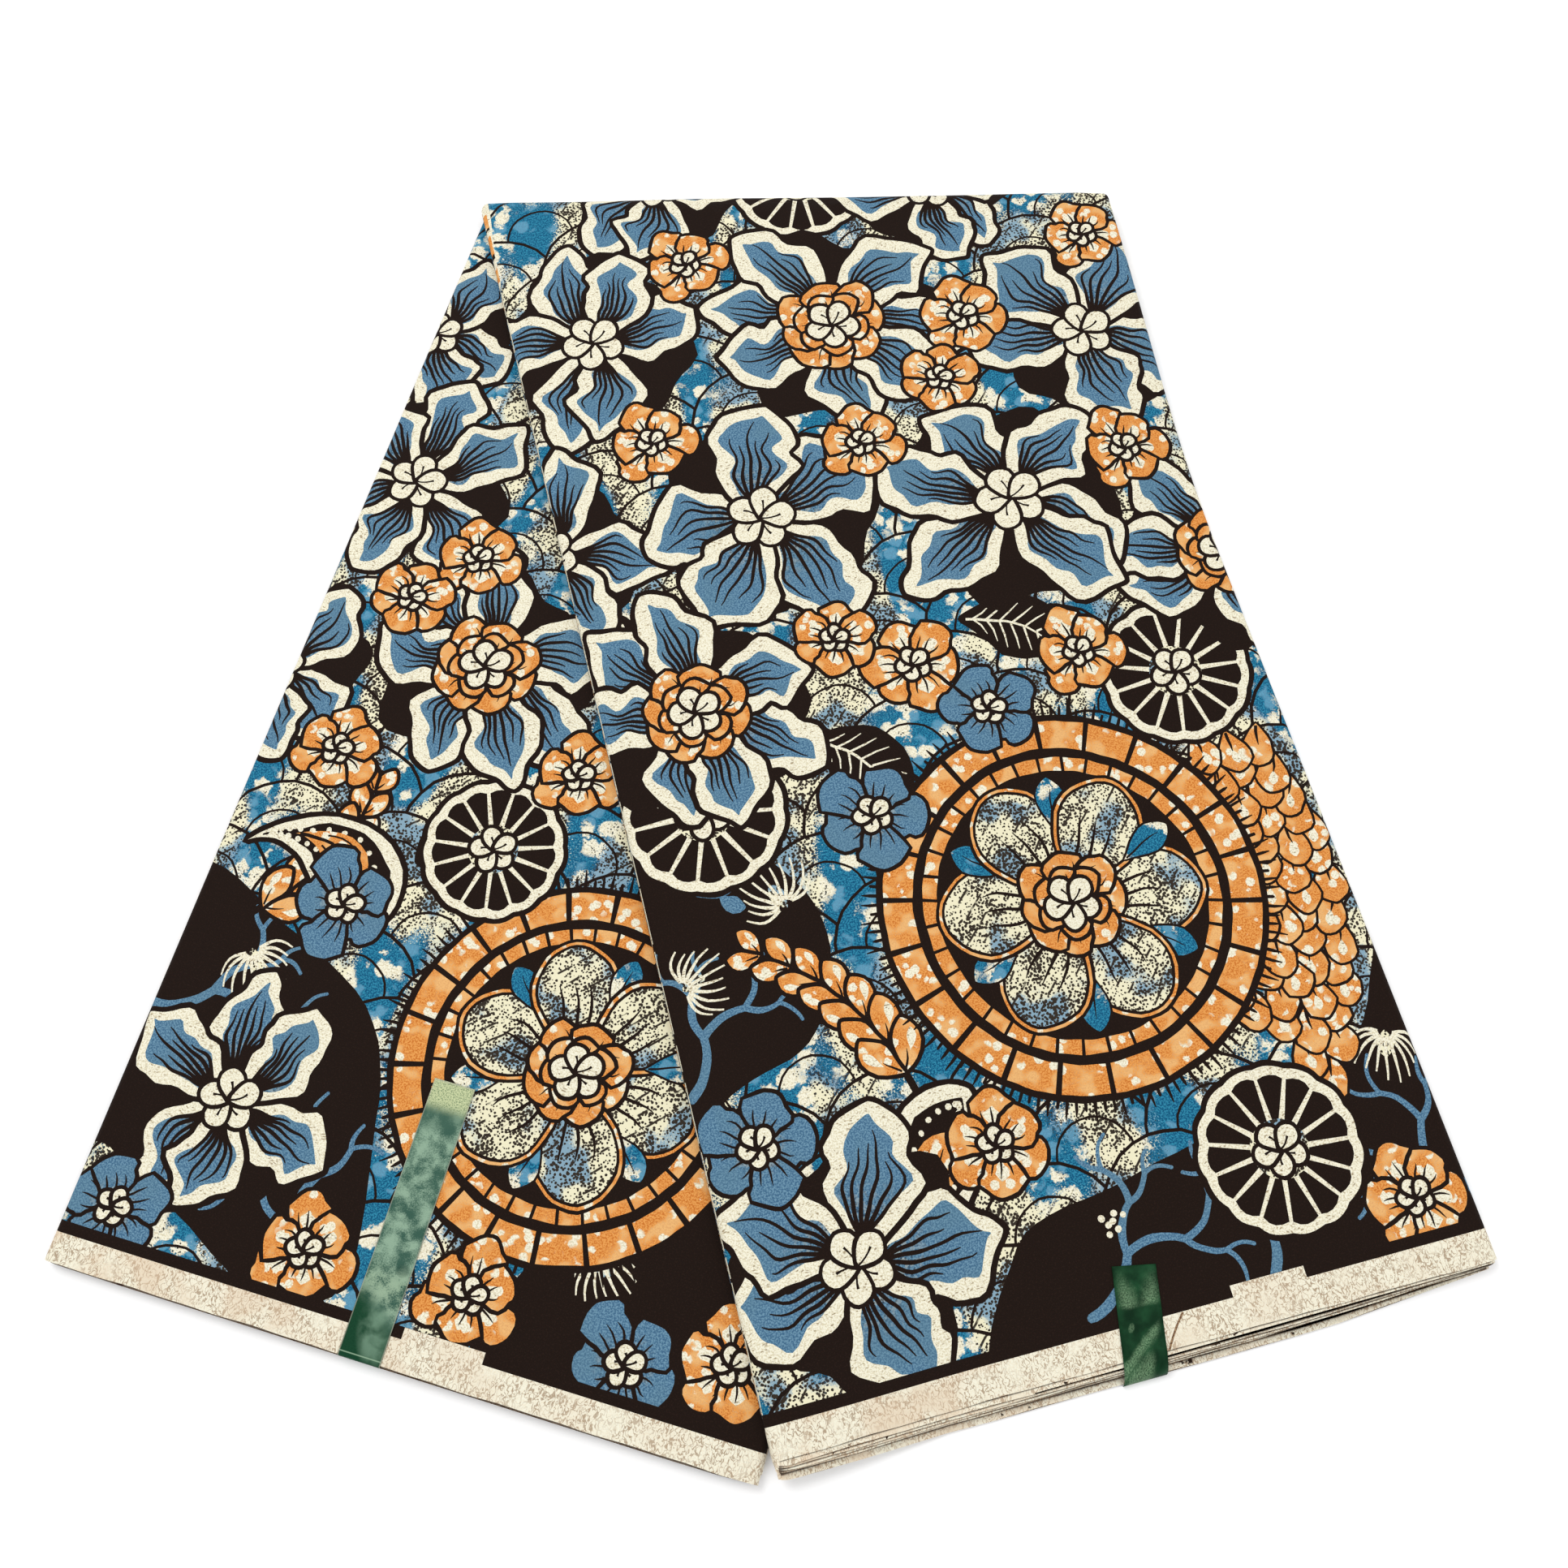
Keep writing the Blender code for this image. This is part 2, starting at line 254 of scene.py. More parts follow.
def alternate(count):
    """Every other number first, so that the rest overlap them."""
    return [*range(0, count, 2), *range(1, count, 2)]


def normals(points, closed=True):
    """Unit vectors square to a line through points."""
    way = np.roll(points, -1) - np.roll(points, 1) if closed else np.gradient(points)
    return way / np.maximum(abs(way), 1e-9) * 1j


def grown(outline, amount):
    """A closed outline moved outwards."""
    area = (outline.conj() * np.roll(outline, -1)).imag.sum()
    return outline - np.sign(area) * amount * normals(outline)


def stroke(path, half_widths):
    """The outline of a brush stroke along a path."""
    side = normals(path, closed=False) * half_widths
    return np.concatenate([path + side, (path - side)[::-1]])


def disc(centre, radius, points=24):
    """A round outline."""
    return centre + radius * np.exp(2j * pi * np.arange(points) / points)


def through(points, per=7):
    """A closed smooth curve through a few points."""
    b = np.array(points)
    a, c, d = np.roll(b, 1), np.roll(b, -1), np.roll(b, -2)
    u = (np.arange(per) / per)[:, None]
    square, cube = a - 2.5 * b + 2 * c - d / 2, 1.5 * (b - c) + (d - a) / 2
    return (b + u * (c - a) / 2 + u ** 2 * square + u ** 3 * cube).T.ravel()


def line(start, end, bow, points=12):
    """A path from start to end that bows to one side by a share of its length."""
    u = np.linspace(0, 1, points)
    return start + (end - start) * (u + 4j * bow * u * (1 - u))


class Petal:
    """A petal, leaf or drop: an axis that bends, and a half-width along it on each side."""

    def __init__(self, root, way, length, width, bend=0.0, fullness=1.5, blunt=0.75, wave=0.0, seed=0.0):
        self.root, self.way, self.length, self.width = root, way, length, width
        self.bend, self.fullness, self.blunt, self.wave, self.seed = bend, fullness, blunt, wave, seed

    def axis(self, u):
        """The middle at shares u of the length, and the direction square to it."""
        turned = self.way * np.exp(1j * self.bend * u)
        middle = self.root + self.length * u * turned
        way = turned * (1 + 1j * self.bend * u)
        return middle, way / abs(way) * 1j

    def at(self, u):
        """The middle at one share of the length."""
        return self.axis(np.array([u]))[0][0]

    def half(self, u, side):
        """The half-width on one side."""
        body = np.sin(pi * np.clip(u, 0, 1) ** self.fullness) ** self.blunt
        ripple = np.sin(2 * pi * u * (1.9 + 0.35 * side) + self.seed * 2.4 + side)
        ripple += 0.35 * np.sin(2 * pi * u * 4.3 + self.seed * 1.7 - side)
        return self.width * body * (1 + self.wave * ripple * u)

    def outline(self, points, start=0.0, stop=1.0, rim=0.0):
        """The closed outline, or that of the inside past a rim, which ends rounded before the tip."""
        u = start + (stop - start) * (1 - np.cos(np.linspace(0, pi, points))) / 2
        middle, square = self.axis(u)
        close = np.sqrt(np.clip((stop - u) / 0.16, 0, 1)) if stop < 1 else 1.0
        sides = []
        for side in (1, -1):
            half = self.half(u, side)
            rough = rim * (1 + 0.26 * np.sin(13 * u + 2 * side + self.seed) + 0.10 * np.sin(29 * u + side))
            sides.append(middle + side * square * np.maximum(half - rough, 0.30 * half) * close)
        return np.concatenate([sides[0][:-1], sides[1][:0:-1]])

    def vein(self, share, stop, thick, points=9, start=0.05, rim=0.0):
        """A tapering stroke from the root, at a share of the half-width."""
        u = np.linspace(start, stop, points)
        middle, square = self.axis(u)
        half = np.maximum(self.half(u, np.sign(share)) - rim, 0.3 * self.half(u, np.sign(share)))
        sway = 0.11 * self.width * np.sin(10 * u + 1.5 * share + self.seed) * u
        path = middle + square * (share * half + sway)
        return stroke(path, thick * (1 - np.linspace(0, 1, points) ** 3 * 0.75))


class Print:
    """What is painted on a leg: ink, outline, and the root and reach that shade it, in painting order."""

    def __init__(self, leg):
        self.leg = leg
        self.shapes = []

    def lay(self, ink, outline, root=0j, reach=1.0):
        """Adds one outline as it is."""
        self.shapes.append((ink, outline, root, reach))

    def paint(self, ink, outline, **shade):
        """Adds one outline as a hand draws it, where it shows."""
        if self.leg.shows(outline):
            self.lay(ink, waver(outline), **shade)

    def edged(self, ink, outline, line_width=FINE, **shade):
        """Adds one outline with a black line round it."""
        self.paint("black", grown(outline, line_width))
        self.paint(ink, outline, **shade)

    def veins(self, petal, shares, stop, thick, points=9, start=0.05, fall=0.0):
        """Adds black veins at shares of a petal's half-width, the outer ones shorter by a fall."""
        for share in shares:
            self.paint("black", petal.vein(share, stop - fall * abs(share), thick, points, start))

    def lily(self, at, size, turn, petals=6, heart="cream", reach=1.72):
        """A large open flower of wavy pointed blue petals with cream rims and black veins."""
        seed = at.real / 17 + at.imag / 29
        angles = np.arange(48) / 48 * 2 * pi
        ragged = size * (0.80 + 0.07 * np.sin(3 * angles + seed) + 0.06 * np.sin(8 * angles + 2 * seed))
        self.paint("black", at + ragged * np.exp(1j * angles))
        for i in alternate(petals):
            way = towards(turn + 2 * pi * i / petals + 0.10 * sin(3 * i + seed))
            length, bend = size * (1 + 0.10 * sin(5 * i + 2 * seed)), 0.44 * sin(2.2 * i + seed)
            petal = Petal(at, way, length, size * reach / petals, bend, 1.30, 0.78, 0.28, seed + i)
            rim = 0.105 * size
            self.edged("cream", petal.outline(32), LINE)
            self.paint("blue", petal.outline(36, 0.03, 0.92, rim), root=at, reach=length)
            for share in np.linspace(-0.82, 0.82, 6):
                stop = 0.82 - 0.24 * abs(share) + 0.09 * sin(9 * share + petal.seed)
                self.paint("black", petal.vein(share, stop, 0.92, 17, 0.14, rim))
        if heart == "orange":
            self.ruffle(at, size * 0.40, turn)
        self.star(at, size * (0.20 if heart == "orange" else 0.25), turn)

    def ruffle(self, at, size, turn):
        """Two rings of orange lobes with cream lights."""
        for layer, (count, reach) in enumerate(((8, 1.0), (6, 0.68))):
            for i, way in ring(count, turn, 0.4 * layer):
                length = size * reach * (1 + 0.10 * sin(3 * i + turn))
                lobe = Petal(at, way, length, size * reach * 0.36, 0.25 * sin(i), 2.1, 0.55, 0.18, i)
                self.edged("orange", lobe.outline(13))
                self.paint("cream", Petal(at, way, length * 0.66, length * 0.09).outline(8))
                self.veins(lobe, (-0.5, 0.5), 0.78, 0.42, 5, 0.5)

    def star(self, at, size, turn):
        """The five cream lobes at a flower's heart, each with a black line down it."""
        lobes = ring(5, turn + 0.4)
        for _, way in lobes:
            self.edged("cream", Petal(at, way, size, size * 0.38, 0.0, 1.55, 0.55).outline(11))
        for _, way in lobes:
            path = line(at, at + way * size * 0.60, 0.08, 5)
            self.paint("black", stroke(path, np.array([0.5, 0.4, 0.4, 0.4, 0.6])))

    def blossom(self, at, size, turn, ink="orange", petals=6):
        """A small flower of one ring of petals."""
        self.paint("black", disc(at, 0.7 * size, 16))
        for i in alternate(petals):
            way = towards(turn + 2 * pi * i / petals + 0.12 * sin(4 * i))
            length = size * (1 + 0.12 * sin(3 * i + size))
            petal = Petal(at, way, length, size * 0.40, 0.2 * sin(2 * i), 1.7, 0.6, 0.2, i)
            self.edged(ink, petal.outline(14), root=at, reach=size)
            if ink == "orange":
                light = Petal(petal.at(0.30), way, size * 0.40, size * 0.13, 0.2, 1.4, 0.7, 0.4, i)
                self.paint("cream", light.outline(9))
            self.veins(petal, (-0.55, 0.0, 0.55), 0.66, 0.50, 5, 0.3, 0.1)
        self.star(at, size * 0.34, turn)

    def blocks(self, at, inner, outer, count, joint, turn):
        """A ring of orange blocks with dark joints."""
        half = pi / count - joint / (inner + outer)
        for i in range(count):
            arc = turn + 2 * pi * i / count + np.linspace(-half, half, 6)
            block = np.concatenate([outer * np.exp(1j * arc), inner * np.exp(1j * arc[::-1])])
            self.paint("orange", at + block)

    def medallion(self, at, size, turn):
        """A round medallion: a fringe, two rings of orange blocks, and a rosette of stippled panes."""
        pitch, girth = 4.0, 2 * pi * size
        for i in range(round(girth / pitch)):
            way = towards(2 * pi * i * pitch / girth)
            length = 5.5 + 2.5 * sin(2.3 * i)
            path = at + way * size * np.array([0.98, 1.03, 1 + length / size])
            self.paint("black", stroke(path, np.array([0.8, 0.7, 0.25])))
        self.paint("black", disc(at, size, 72))
        self.blocks(at, 0.815 * size, 0.965 * size, 22, 2.4, turn)
        self.blocks(at, 0.695 * size, 0.765 * size, 36, 1.5, turn + 0.05)
        for (i, way), (_, gap) in zip(ring(6, turn), ring(6, turn, 0.5)):
            pane = Petal(at + 0.12 * size * way, way, 0.545 * size, 0.205 * size, 0.0, 1.30, 0.55, 0.0, i)
            self.edged("orange", grown(pane.outline(18), 2.6), 1.5)
            self.edged("mist", pane.outline(18), 1.3)
            self.veins(pane, (-0.42, 0.0, 0.42), 0.62, 0.75, 7, 0.18)
            leaf = Petal(at + 0.36 * size * gap, gap, 0.30 * size, 0.075 * size)
            self.edged("teal", leaf.outline(12), 1.0)
            self.veins(leaf, (0.0,), 0.8, 0.5, 5)
        self.ruffle(at, 0.27 * size, turn)
        self.star(at, 0.14 * size, turn)

    def sun(self, at, size, turn):
        """A cream disc with a scalloped rim and long black wedges."""
        rays, per_ray = 15, 6
        rim = np.arange(rays * per_ray)
        scallops = size * (1 + 0.03 * abs(np.sin(pi * rim / per_ray)))
        self.edged("cream", at + scallops * np.exp(1j * (turn + 2 * pi * rim / len(rim))), LINE)
        half = 0.88 * pi / rays
        arc = np.linspace(-half, half, 5)
        outer = 0.92 * size * np.exp(1j * arc) * (1 - 0.05 * (arc / half) ** 2)
        wedge = np.concatenate([outer, 0.27 * size * np.exp(0.4j * np.array([half, -half]))])
        for _, way in ring(rays, turn, 0.5):
            self.paint("black", at + way * wedge)
        self.paint("mist", disc(at, 0.37 * size, 20))
        self.star(at, 0.33 * size, turn)

    def paisley(self, at, size, turn):
        """A paisley: cream rim, black ground with beads, and an orange leaf inside."""
        body = Petal(at, towards(turn), size, size * 0.27, 1.0, 2.2, 0.70)
        self.edged("cream", body.outline(26), LINE)
        self.paint("black", body.outline(26, 0.10, 0.955, 4.4))
        for spot in body.outline(17, 0.15, 0.925, 8.6):
            self.paint("cream", disc(spot, 1.35, 7))
        inner = Petal(body.at(0.30), towards(turn + 0.42), size * 0.54, size * 0.125, 0.7, 1.9)
        self.paint("orange", inner.outline(16))
        self.veins(inner, (0.0,), 0.85, 0.8)
        self.veins(inner, (-0.6, 0.6), 0.80, 0.45, 7, 0.35)

    def frond(self, at, size, turn):
        """A bowed stem with orange leaves in pairs."""
        pairs = 7
        stem = line(at, at + size * towards(turn), 0.12, 40)
        self.paint("black", stroke(stem[::3], np.linspace(1.7, 0.8, 14)))
        for i in range(pairs, 0, -1):
            near = int(39 * i / (pairs + 0.6))
            root, ahead = stem[near], stem[near + 1] - stem[near - 1]
            length = size * 0.21 * (1.12 - 0.45 * i / pairs)
            for side in (1, -1):
                way = ahead / abs(ahead) * np.exp(side * 0.80j)
                leaf = Petal(root, way, length, length * 0.27, -0.35 * side, 1.35)
                self.edged("orange", leaf.outline(12))
                light = Petal(root + way * length * 0.42, way, length * 0.44, length * 0.09, -0.3 * side)
                self.paint("cream", light.outline(8))
                self.veins(leaf, (0.0,), 0.45, 0.5, 5)

    def cascade(self, at, size, turn):
        """A hanging cluster of orange leaves, each over the one below it."""
        rows, down = 13, towards(turn)
        spine = line(at, at + size * down, 0.05, rows + 1)
        leaf = 1.9 * size / rows
        for row in range(rows, -1, -1):
            half = size * 0.27 * sin(pi * (0.16 + 0.80 * (row / rows))) ** 0.8
            count = max(1, round(2 * half / (0.62 * leaf)))
            for i in range(count):
                off = (i - (count - 1) / 2) / count * 2
                lean = towards(turn - 0.30 * off + 0.18 * sin(5 * i + 3 * row))
                root = spine[row] + 1j * down * off * half + down * leaf * 0.16 * sin(3 * i + row)
                one = Petal(root, lean, leaf * 0.92, leaf * 0.33, 0.15 * sin(i + row), 1.5, 0.62, 0.1,
                            i + row)
                self.edged("orange", one.outline(12), 1.25)
                if (i + row) % 3:
                    self.paint("cream", Petal(one.at(0.45), lean, leaf * 0.34, leaf * 0.10).outline(7))
                self.veins(one, (0.0,), 0.50, 0.75, 4)

    def leaf(self, at, size, turn):
        """A black leaf with a cream midrib and side veins."""
        body = Petal(at, towards(turn), size, size * 0.30, 0.30, 1.25, 0.85, 0.08, size)
        self.edged("black", body.outline(20))
        self.paint("cream", body.vein(0.0, 0.90, 0.65, 10))
        for i in range(1, 7):
            u = 0.12 * i + np.array([0.0, 0.08, 0.14])
            middle, square = body.axis(u)
            for side in (1, -1):
                path = middle + side * square * body.half(u, side) * np.array([0.0, 0.45, 0.80])
                self.paint("cream", stroke(path, np.array([0.5, 0.42, 0.2])))

    def tendril(self, at, size, turn):
        """A stem that rolls up, with a leaf on its back and a cream berry at its end."""
        u = np.linspace(0, 1, 32)
        angle = turn - (0.3 * u + 5.0 * u ** 2)
        path = at + size * np.cumsum(np.exp(1j * angle) * (1 - 0.70 * u)) / 14
        self.paint("blue", stroke(path, np.linspace(1.9, 1.0, 32)))
        self.paint("blue", Petal(path[9], towards(angle[9] + 1.1), size * 0.55, size * 0.16, -0.5).outline(9))
        self.paint("cream", disc(path[-1], 2.1, 10))

    def spray(self, at, size, turn):
        """A spray of fine cream strokes over a stippled bud."""
        self.paint("mist", Petal(at, towards(turn), size * 0.55, size * 0.16, 0.0, 1.1).outline(10))
        for i in range(-5, 6):
            way = towards(turn + i * 0.24)
            reach = size * (1 - 0.04 * abs(i) + 0.10 * sin(5 * (i + 5)))
            path = line(at + way * size * 0.16, at + way * reach, 0.04 * i, 7)
            self.paint("cream", stroke(path, np.linspace(0.85, 0.35, 7)))

    def branch(self, at, size, turn, forks=3, lean=1):
        """A stem that forks again and again."""
        path = line(at, at + size * towards(turn), 0.13 * lean, 9)
        half = 0.75 + 0.38 * forks
        self.paint("blue", stroke(path, np.linspace(half + 0.3, half, 9)))
        self.paint("blue", disc(path[0], half + 0.3, 9))
        self.paint("blue", disc(path[-1], half + 0.1, 9))
        if forks:
            for side in (1, -1):
                shorter = size * (0.76 + 0.08 * side * lean)
                self.branch(path[-1], shorter, turn + side * 0.62 + 0.16 * lean, forks - 1, -lean)

    def berries(self, at, size, turn):
        """A small cluster of cream berries."""
        for i in range(7):
            spot = at + size * towards(turn + 2.4 * i) * sqrt(i / 7)
            self.paint("cream", disc(spot, size * 0.24, 9))

    def scales(self):
        """A ground of fish scales, each two black arcs over the speckled ground."""
        pitch = 54
        radius = pitch * 0.585
        for row in range(-3, 24):
            for column in range(-1, 7):
                at = complex((column + 0.5 * (row % 2)) * pitch, row * pitch / 2)
                for arc, line_width in ((radius, 1.5), (0.56 * radius, 1.1)):
                    self.paint("black", disc(at, arc, 26))
                    self.paint("ground", disc(at, arc - line_width, 26))


MOTIFS = {
    "lily": Print.lily,
    "lily of five": partial(Print.lily, petals=5),
    "ruffled lily": partial(Print.lily, petals=7, heart="orange", reach=1.9),
    "blossom": Print.blossom,
    "blue blossom": partial(Print.blossom, ink="blue", petals=5),
    "medallion": Print.medallion,
    "sun": Print.sun,
    "paisley": Print.paisley,
    "frond": Print.frond,
    "cascade": Print.cascade,
    "leaf": Print.leaf,
    "tendril": Print.tendril,
    "spray": Print.spray,
    "berries": Print.berries,
    "branch": Print.branch,
}

# The black patches of each leg, and its motifs in painting order: each kind, and then where each one
# is, how large in mm, and its turn
FRONT_BLACKS = (
    (318 + 470j, 286 + 520j, 232 + 538j, 168 + 552j, 118 + 566j, 108 + 628j, 330 + 628j, 334 + 480j),
    (-12 + 356j, 26 + 362j, 62 + 384j, 76 + 420j, 60 + 460j, 24 + 474j, -12 + 480j),
)
FRONT_MOTIFS = (
    ("branch", (140 + 600j, 30, -0.75), (318 + 604j, 28, -2.3), (216 + 606j, 26, -1.35)),
    ("spray", (232 + 556j, 20, -1.9)),
    ("berries", (160 + 566j, 6, 0.3)),
    ("spray", (300 + 520j, 22, 1.9)),
    ("tendril", (20 + 384j, 24, 0.6)),
    ("branch", (2 + 474j, 26, -1.15)),
    ("spray", (62 + 404j, 24, -2.0), (8 + 428j, 22, -0.3)),
    ("leaf", (92 + 330j, 52, 0.5), (176 + 290j, 50, 0.2), (20 + 250j, 48, 1.3)),
    ("frond", (96 + 500j, 104, -2.2)),
    ("cascade", (280 + 372j, 150, 1.62)),
    ("medallion", (186 + 432j, 88, 0.1)),
    ("paisley", (104 + 574j, 76, -2.4)),
    ("sun", (36 + 352j, 36, 0.2), (268 + 338j, 34, 0.1), (166 + 26j, 34, 0.3), (238 + 556j, 34, 0.1)),
    ("lily of five", (92 + 10j, 50, 0.3)),
    ("lily", (232 + 46j, 52, 0.9), (40 + 96j, 60, 0.20), (-6 + 208j, 54, 0.10)),
    ("lily of five", (282 + 152j, 60, 0.50)),
    ("ruffled lily", (160 + 116j, 66, 0.00)),
    ("lily of five", (98 + 214j, 64, 0.90)),
    ("ruffled lily", (312 + 284j, 58, 0.80)),
    ("lily", (218 + 234j, 66, 0.35)),
    ("ruffled lily", (44 + 304j, 60, 0.40)),
    ("lily of five", (52 + 556j, 60, 0.15)),
    ("blossom", (96 + 62j, 21, 0.0), (226 + 128j, 22, 0.4), (204 + 160j, 19, 0.9), (56 + 160j, 21, 0.2),
     (156 + 186j, 20, 0.5), (282 + 220j, 21, 0.1), (148 + 306j, 23, 0.3), (116 + 284j, 19, 0.8),
     (226 + 318j, 21, 0.2), (122 + 524j, 22, 0.6), (300 + 96j, 20, 0.2), (286 + 588j, 22, 0.2)),
    ("blue blossom", (110 + 372j, 25, 0.3), (176 + 336j, 22, 0.9), (24 + 500j, 25, 0.1)),
)
REAR_BLACKS = (
    (-12 + 372j, 44 + 384j, 98 + 414j, 118 + 470j, 124 + 520j, 92 + 532j, 48 + 512j, 8 + 494j, -14 + 486j),
    (240 + 430j, 290 + 470j, 330 + 500j, 330 + 540j, 190 + 540j, 206 + 470j),
)
REAR_MOTIFS = (
    ("branch", (0 + 432j, 28, -0.45), (112 + 526j, 28, -2.2)),
    ("spray", (34 + 398j, 22, 0.9), (222 + 478j, 20, 0.8)),
    ("leaf", (62 + 186j, 50, 0.9), (120 + 300j, 50, 1.9)),
    ("frond", (22 + 388j, 92, -1.15)),
    ("medallion", (190 + 410j, 82, 0.2)),
    ("paisley", (12 + 352j, 74, -0.7)),
    ("sun", (122 + 326j, 31, 0.1)),
    ("lily of five", (2 + 74j, 48, 0.2)),
    ("lily", (22 + 158j, 56, 0.6)),
    ("ruffled lily", (88 + 242j, 60, 0.2)),
    ("lily of five", (-8 + 268j, 50, 0.4)),
    ("lily", (50 + 462j, 52, 0.3)),
    ("blossom", (66 + 190j, 20, 0.1), (42 + 218j, 19, 0.6), (148 + 282j, 20, 0.2), (36 + 300j, 20, 0.5),
     (104 + 510j, 21, 0.2)),
    ("blue blossom", (20 + 516j, 22, 0.7)),
    ("blossom", (176 + 508j, 21, 0.5), (288 + 504j, 22, 0.1)),
    ("blue blossom", (66 + 368j, 24, 0.5), (246 + 516j, 24, 0.3)),
)

# On the front leg, the outline of the pale line at the top of its left side, worn print at the fold and
# partly a painted highlight, the short dabs on it (how far down, how long and in which ink), and the brown
# mark across its hem
LEFT_EDGE = (-9 - 14j, 3 - 14j, 4.2 + 4j, 2.6 + 22j, 1.6 + 40j, 0.6 + 50j, -9 + 52j)
LEFT_DASHES = (56.0, 590)   # where thin dashes go on from that line, and where they end, in mm down
LEFT_DABS = ((9, 9, "orange"), (13.6, 1.6, "black"), (24, 12, "orange"), (31, 3, "black"), (42, 10, "orange"))
HEM_MARK = (176.6 + 606.9j, 166.4 + 619.4j, 0.03, 8)
# The ends of each selvedge's bare tab, in mm across the leg
FRONT_TAB, REAR_TAB = (198.5, 230.5), (155, 190)


def printed(leg, blacks, motifs):
    """A leg's whole print above its border."""
    draw = Print(leg)
    draw.scales()
    for outline in blacks:
        draw.paint("black", through(outline))
    for kind, *places in motifs:
        for place in places:
            MOTIFS[kind](draw, *place)
    return draw


def add_border(draw, tab):
    """The black border, the cream selvedge below it, and the bare tab that stands up into the border."""
    leg, whole = draw.leg, (-30, 350)
    rim = leg.selvedge + BORDER
    for ink, ends, above in (
            ("black", whole, rim),
            ("selvedge", whole, leg.selvedge),
            ("selvedge", tab, rim - 0.1)):
        across = np.array(ends, float)
        top, bottom = leg.hem(across) - above, leg.hem(across) + 9
        draw.lay(ink, np.concatenate([across + 1j * top, (across + 1j * bottom)[::-1]]))


def add_left_edge(draw):
    """The pale worn line where the print turns round the front leg's left side, partly a painted highlight.
    """
    draw.lay("cream", through(LEFT_EDGE))
    for down, long, ink in LEFT_DABS:
        draw.lay(ink, stroke(np.linspace(-4, 2.6 - 0.03 * down, 3) + 1j * down, np.full(3, long / 2)))
    down, last = LEFT_DASHES
    while down < last:
        long = 17 + 9 * sin(down)
        draw.lay("cream", stroke(np.linspace(0, long, 4) * 1j - 0.2 + 1j * down, np.full(4, 0.42)))
        down += long + 3 + 2 * sin(2 * down)


# The cloth's mesh

CELL = 9 * MM              # between the mesh's own points, where the print has none


def sheet_outline(leg):
    """The unrolled outer cloth's outline on the floor plan."""
    over = [SIDE_ARC * wrap - SIDE_ROUND for wrap in leg.wraps]
    across = np.linspace(-over[0] * cos(leg.swing), STRIP_WIDTH + over[1] * cos(leg.swing), 60) / MM
    uneven = 0.14 * np.sin(across / 9) + 0.12 * np.sin(across / 4.3 + 2)
    hem = leg.plan(across + 1j * (leg.hem(across) + uneven))
    left, right = (leg.side_line(side, hem[-side].imag, 40, over[side]) for side in (0, 1))
    return np.concatenate([left[:-1], hem, right[-2::-1]])


def guide_lines(leg):
    """Lines along the rounded sides and round the turn, which keep the bends even."""
    lines = []
    for side in (0, 1):
        across = side * STRIP_WIDTH / MM
        bottom = leg.plan(np.array([complex(across, leg.hem(across) + 2)]))[0].imag
        for turn in np.arange(0, leg.wraps[side] + 0.01, radians(18)):
            lines.append(leg.side_line(side, bottom, 60, SIDE_ARC * turn - SIDE_ROUND))
    if leg.top:
        xs = np.linspace(FOLD_LEFT.real - 0.01, FOLD_LEFT.real + FOLD_WIDTH + 0.02, 30)
        for angle in np.arange(0, leg.top + 0.01, radians(12)):
            lines.append(xs + 1j * (FOLD_LEFT.imag + OUTER_RADIUS * angle))
    return lines


def triangulated(outlines, segments, spare):
    """The first outline filled with triangles that keep every outline and segment as edges.

    Gives places, triangles and the number of the last outline round each triangle.
    """
    places, faces, edges = [], [], []

    def add(points):
        first = len(places)
        places.extend(Vector((p.real, p.imag)) for p in points)
        return list(range(first, first + len(points)))

    for shape in outlines:
        turns_left = (shape.conj() * np.roll(shape, -1)).imag.sum() > 0
        faces.append(add(shape if turns_left else shape[::-1]))
    for path in segments:
        ids = add(path)
        edges += list(zip(ids, ids[1:]))
    add(spare)
    vertices, _, triangles, _, _, owners = delaunay_2d_cdt(places, edges, faces, 1, 1e-7, True)
    kept = [(t, max(o)) for t, o in zip(triangles, owners) if 0 in o]
    used = np.unique([v for t, _ in kept for v in t])
    renumber = np.full(len(vertices), -1)
    renumber[used] = np.arange(len(used))
    spots = np.array([complex(*vertices[i]) for i in used])
    return spots, upward(spots, renumber[np.array([t for t, _ in kept])]), np.array([top for _, top in kept])


def grid(outline):
    """Points a cell apart over an outline's box."""
    xs = np.arange(outline.real.min(), outline.real.max(), CELL)
    ys = np.arange(outline.imag.min(), outline.imag.max(), CELL)
    return (xs[None, :] + 1j * ys[:, None]).ravel()


def upward(spots, triangles):
    """The triangles, each turned so that it faces up."""
    a, b, c = (spots[triangles[:, i]] for i in range(3))
    down = ((b - a).conj() * (c - a)).imag < 0
    return np.where(down[:, None], triangles[:, ::-1], triangles)


def sorted_edges(triangles):
    """Every triangle's directed edges, with the triangle's number, in the order of their two ends."""
    edges = np.concatenate([triangles[:, [0, 1]], triangles[:, [1, 2]], triangles[:, [2, 0]]])
    owner = np.tile(np.arange(len(triangles)), 3)
    ends = np.sort(edges, axis=1)
    order = np.lexsort((ends[:, 1], ends[:, 0]))
    return edges[order], owner[order], (ends[order][1:] == ends[order][:-1]).all(axis=1)


def boundary_loop(triangles):
    """The vertices round a sheet of triangles, in order."""
    edges, _, same = sorted_edges(triangles)
    single = edges[~(np.append(same, False) | np.append(False, same))]
    after = dict(single.tolist())
    loop = [single[0][0]]
    while after[loop[-1]] != loop[0]:
        loop.append(after[loop[-1]])
    return loop


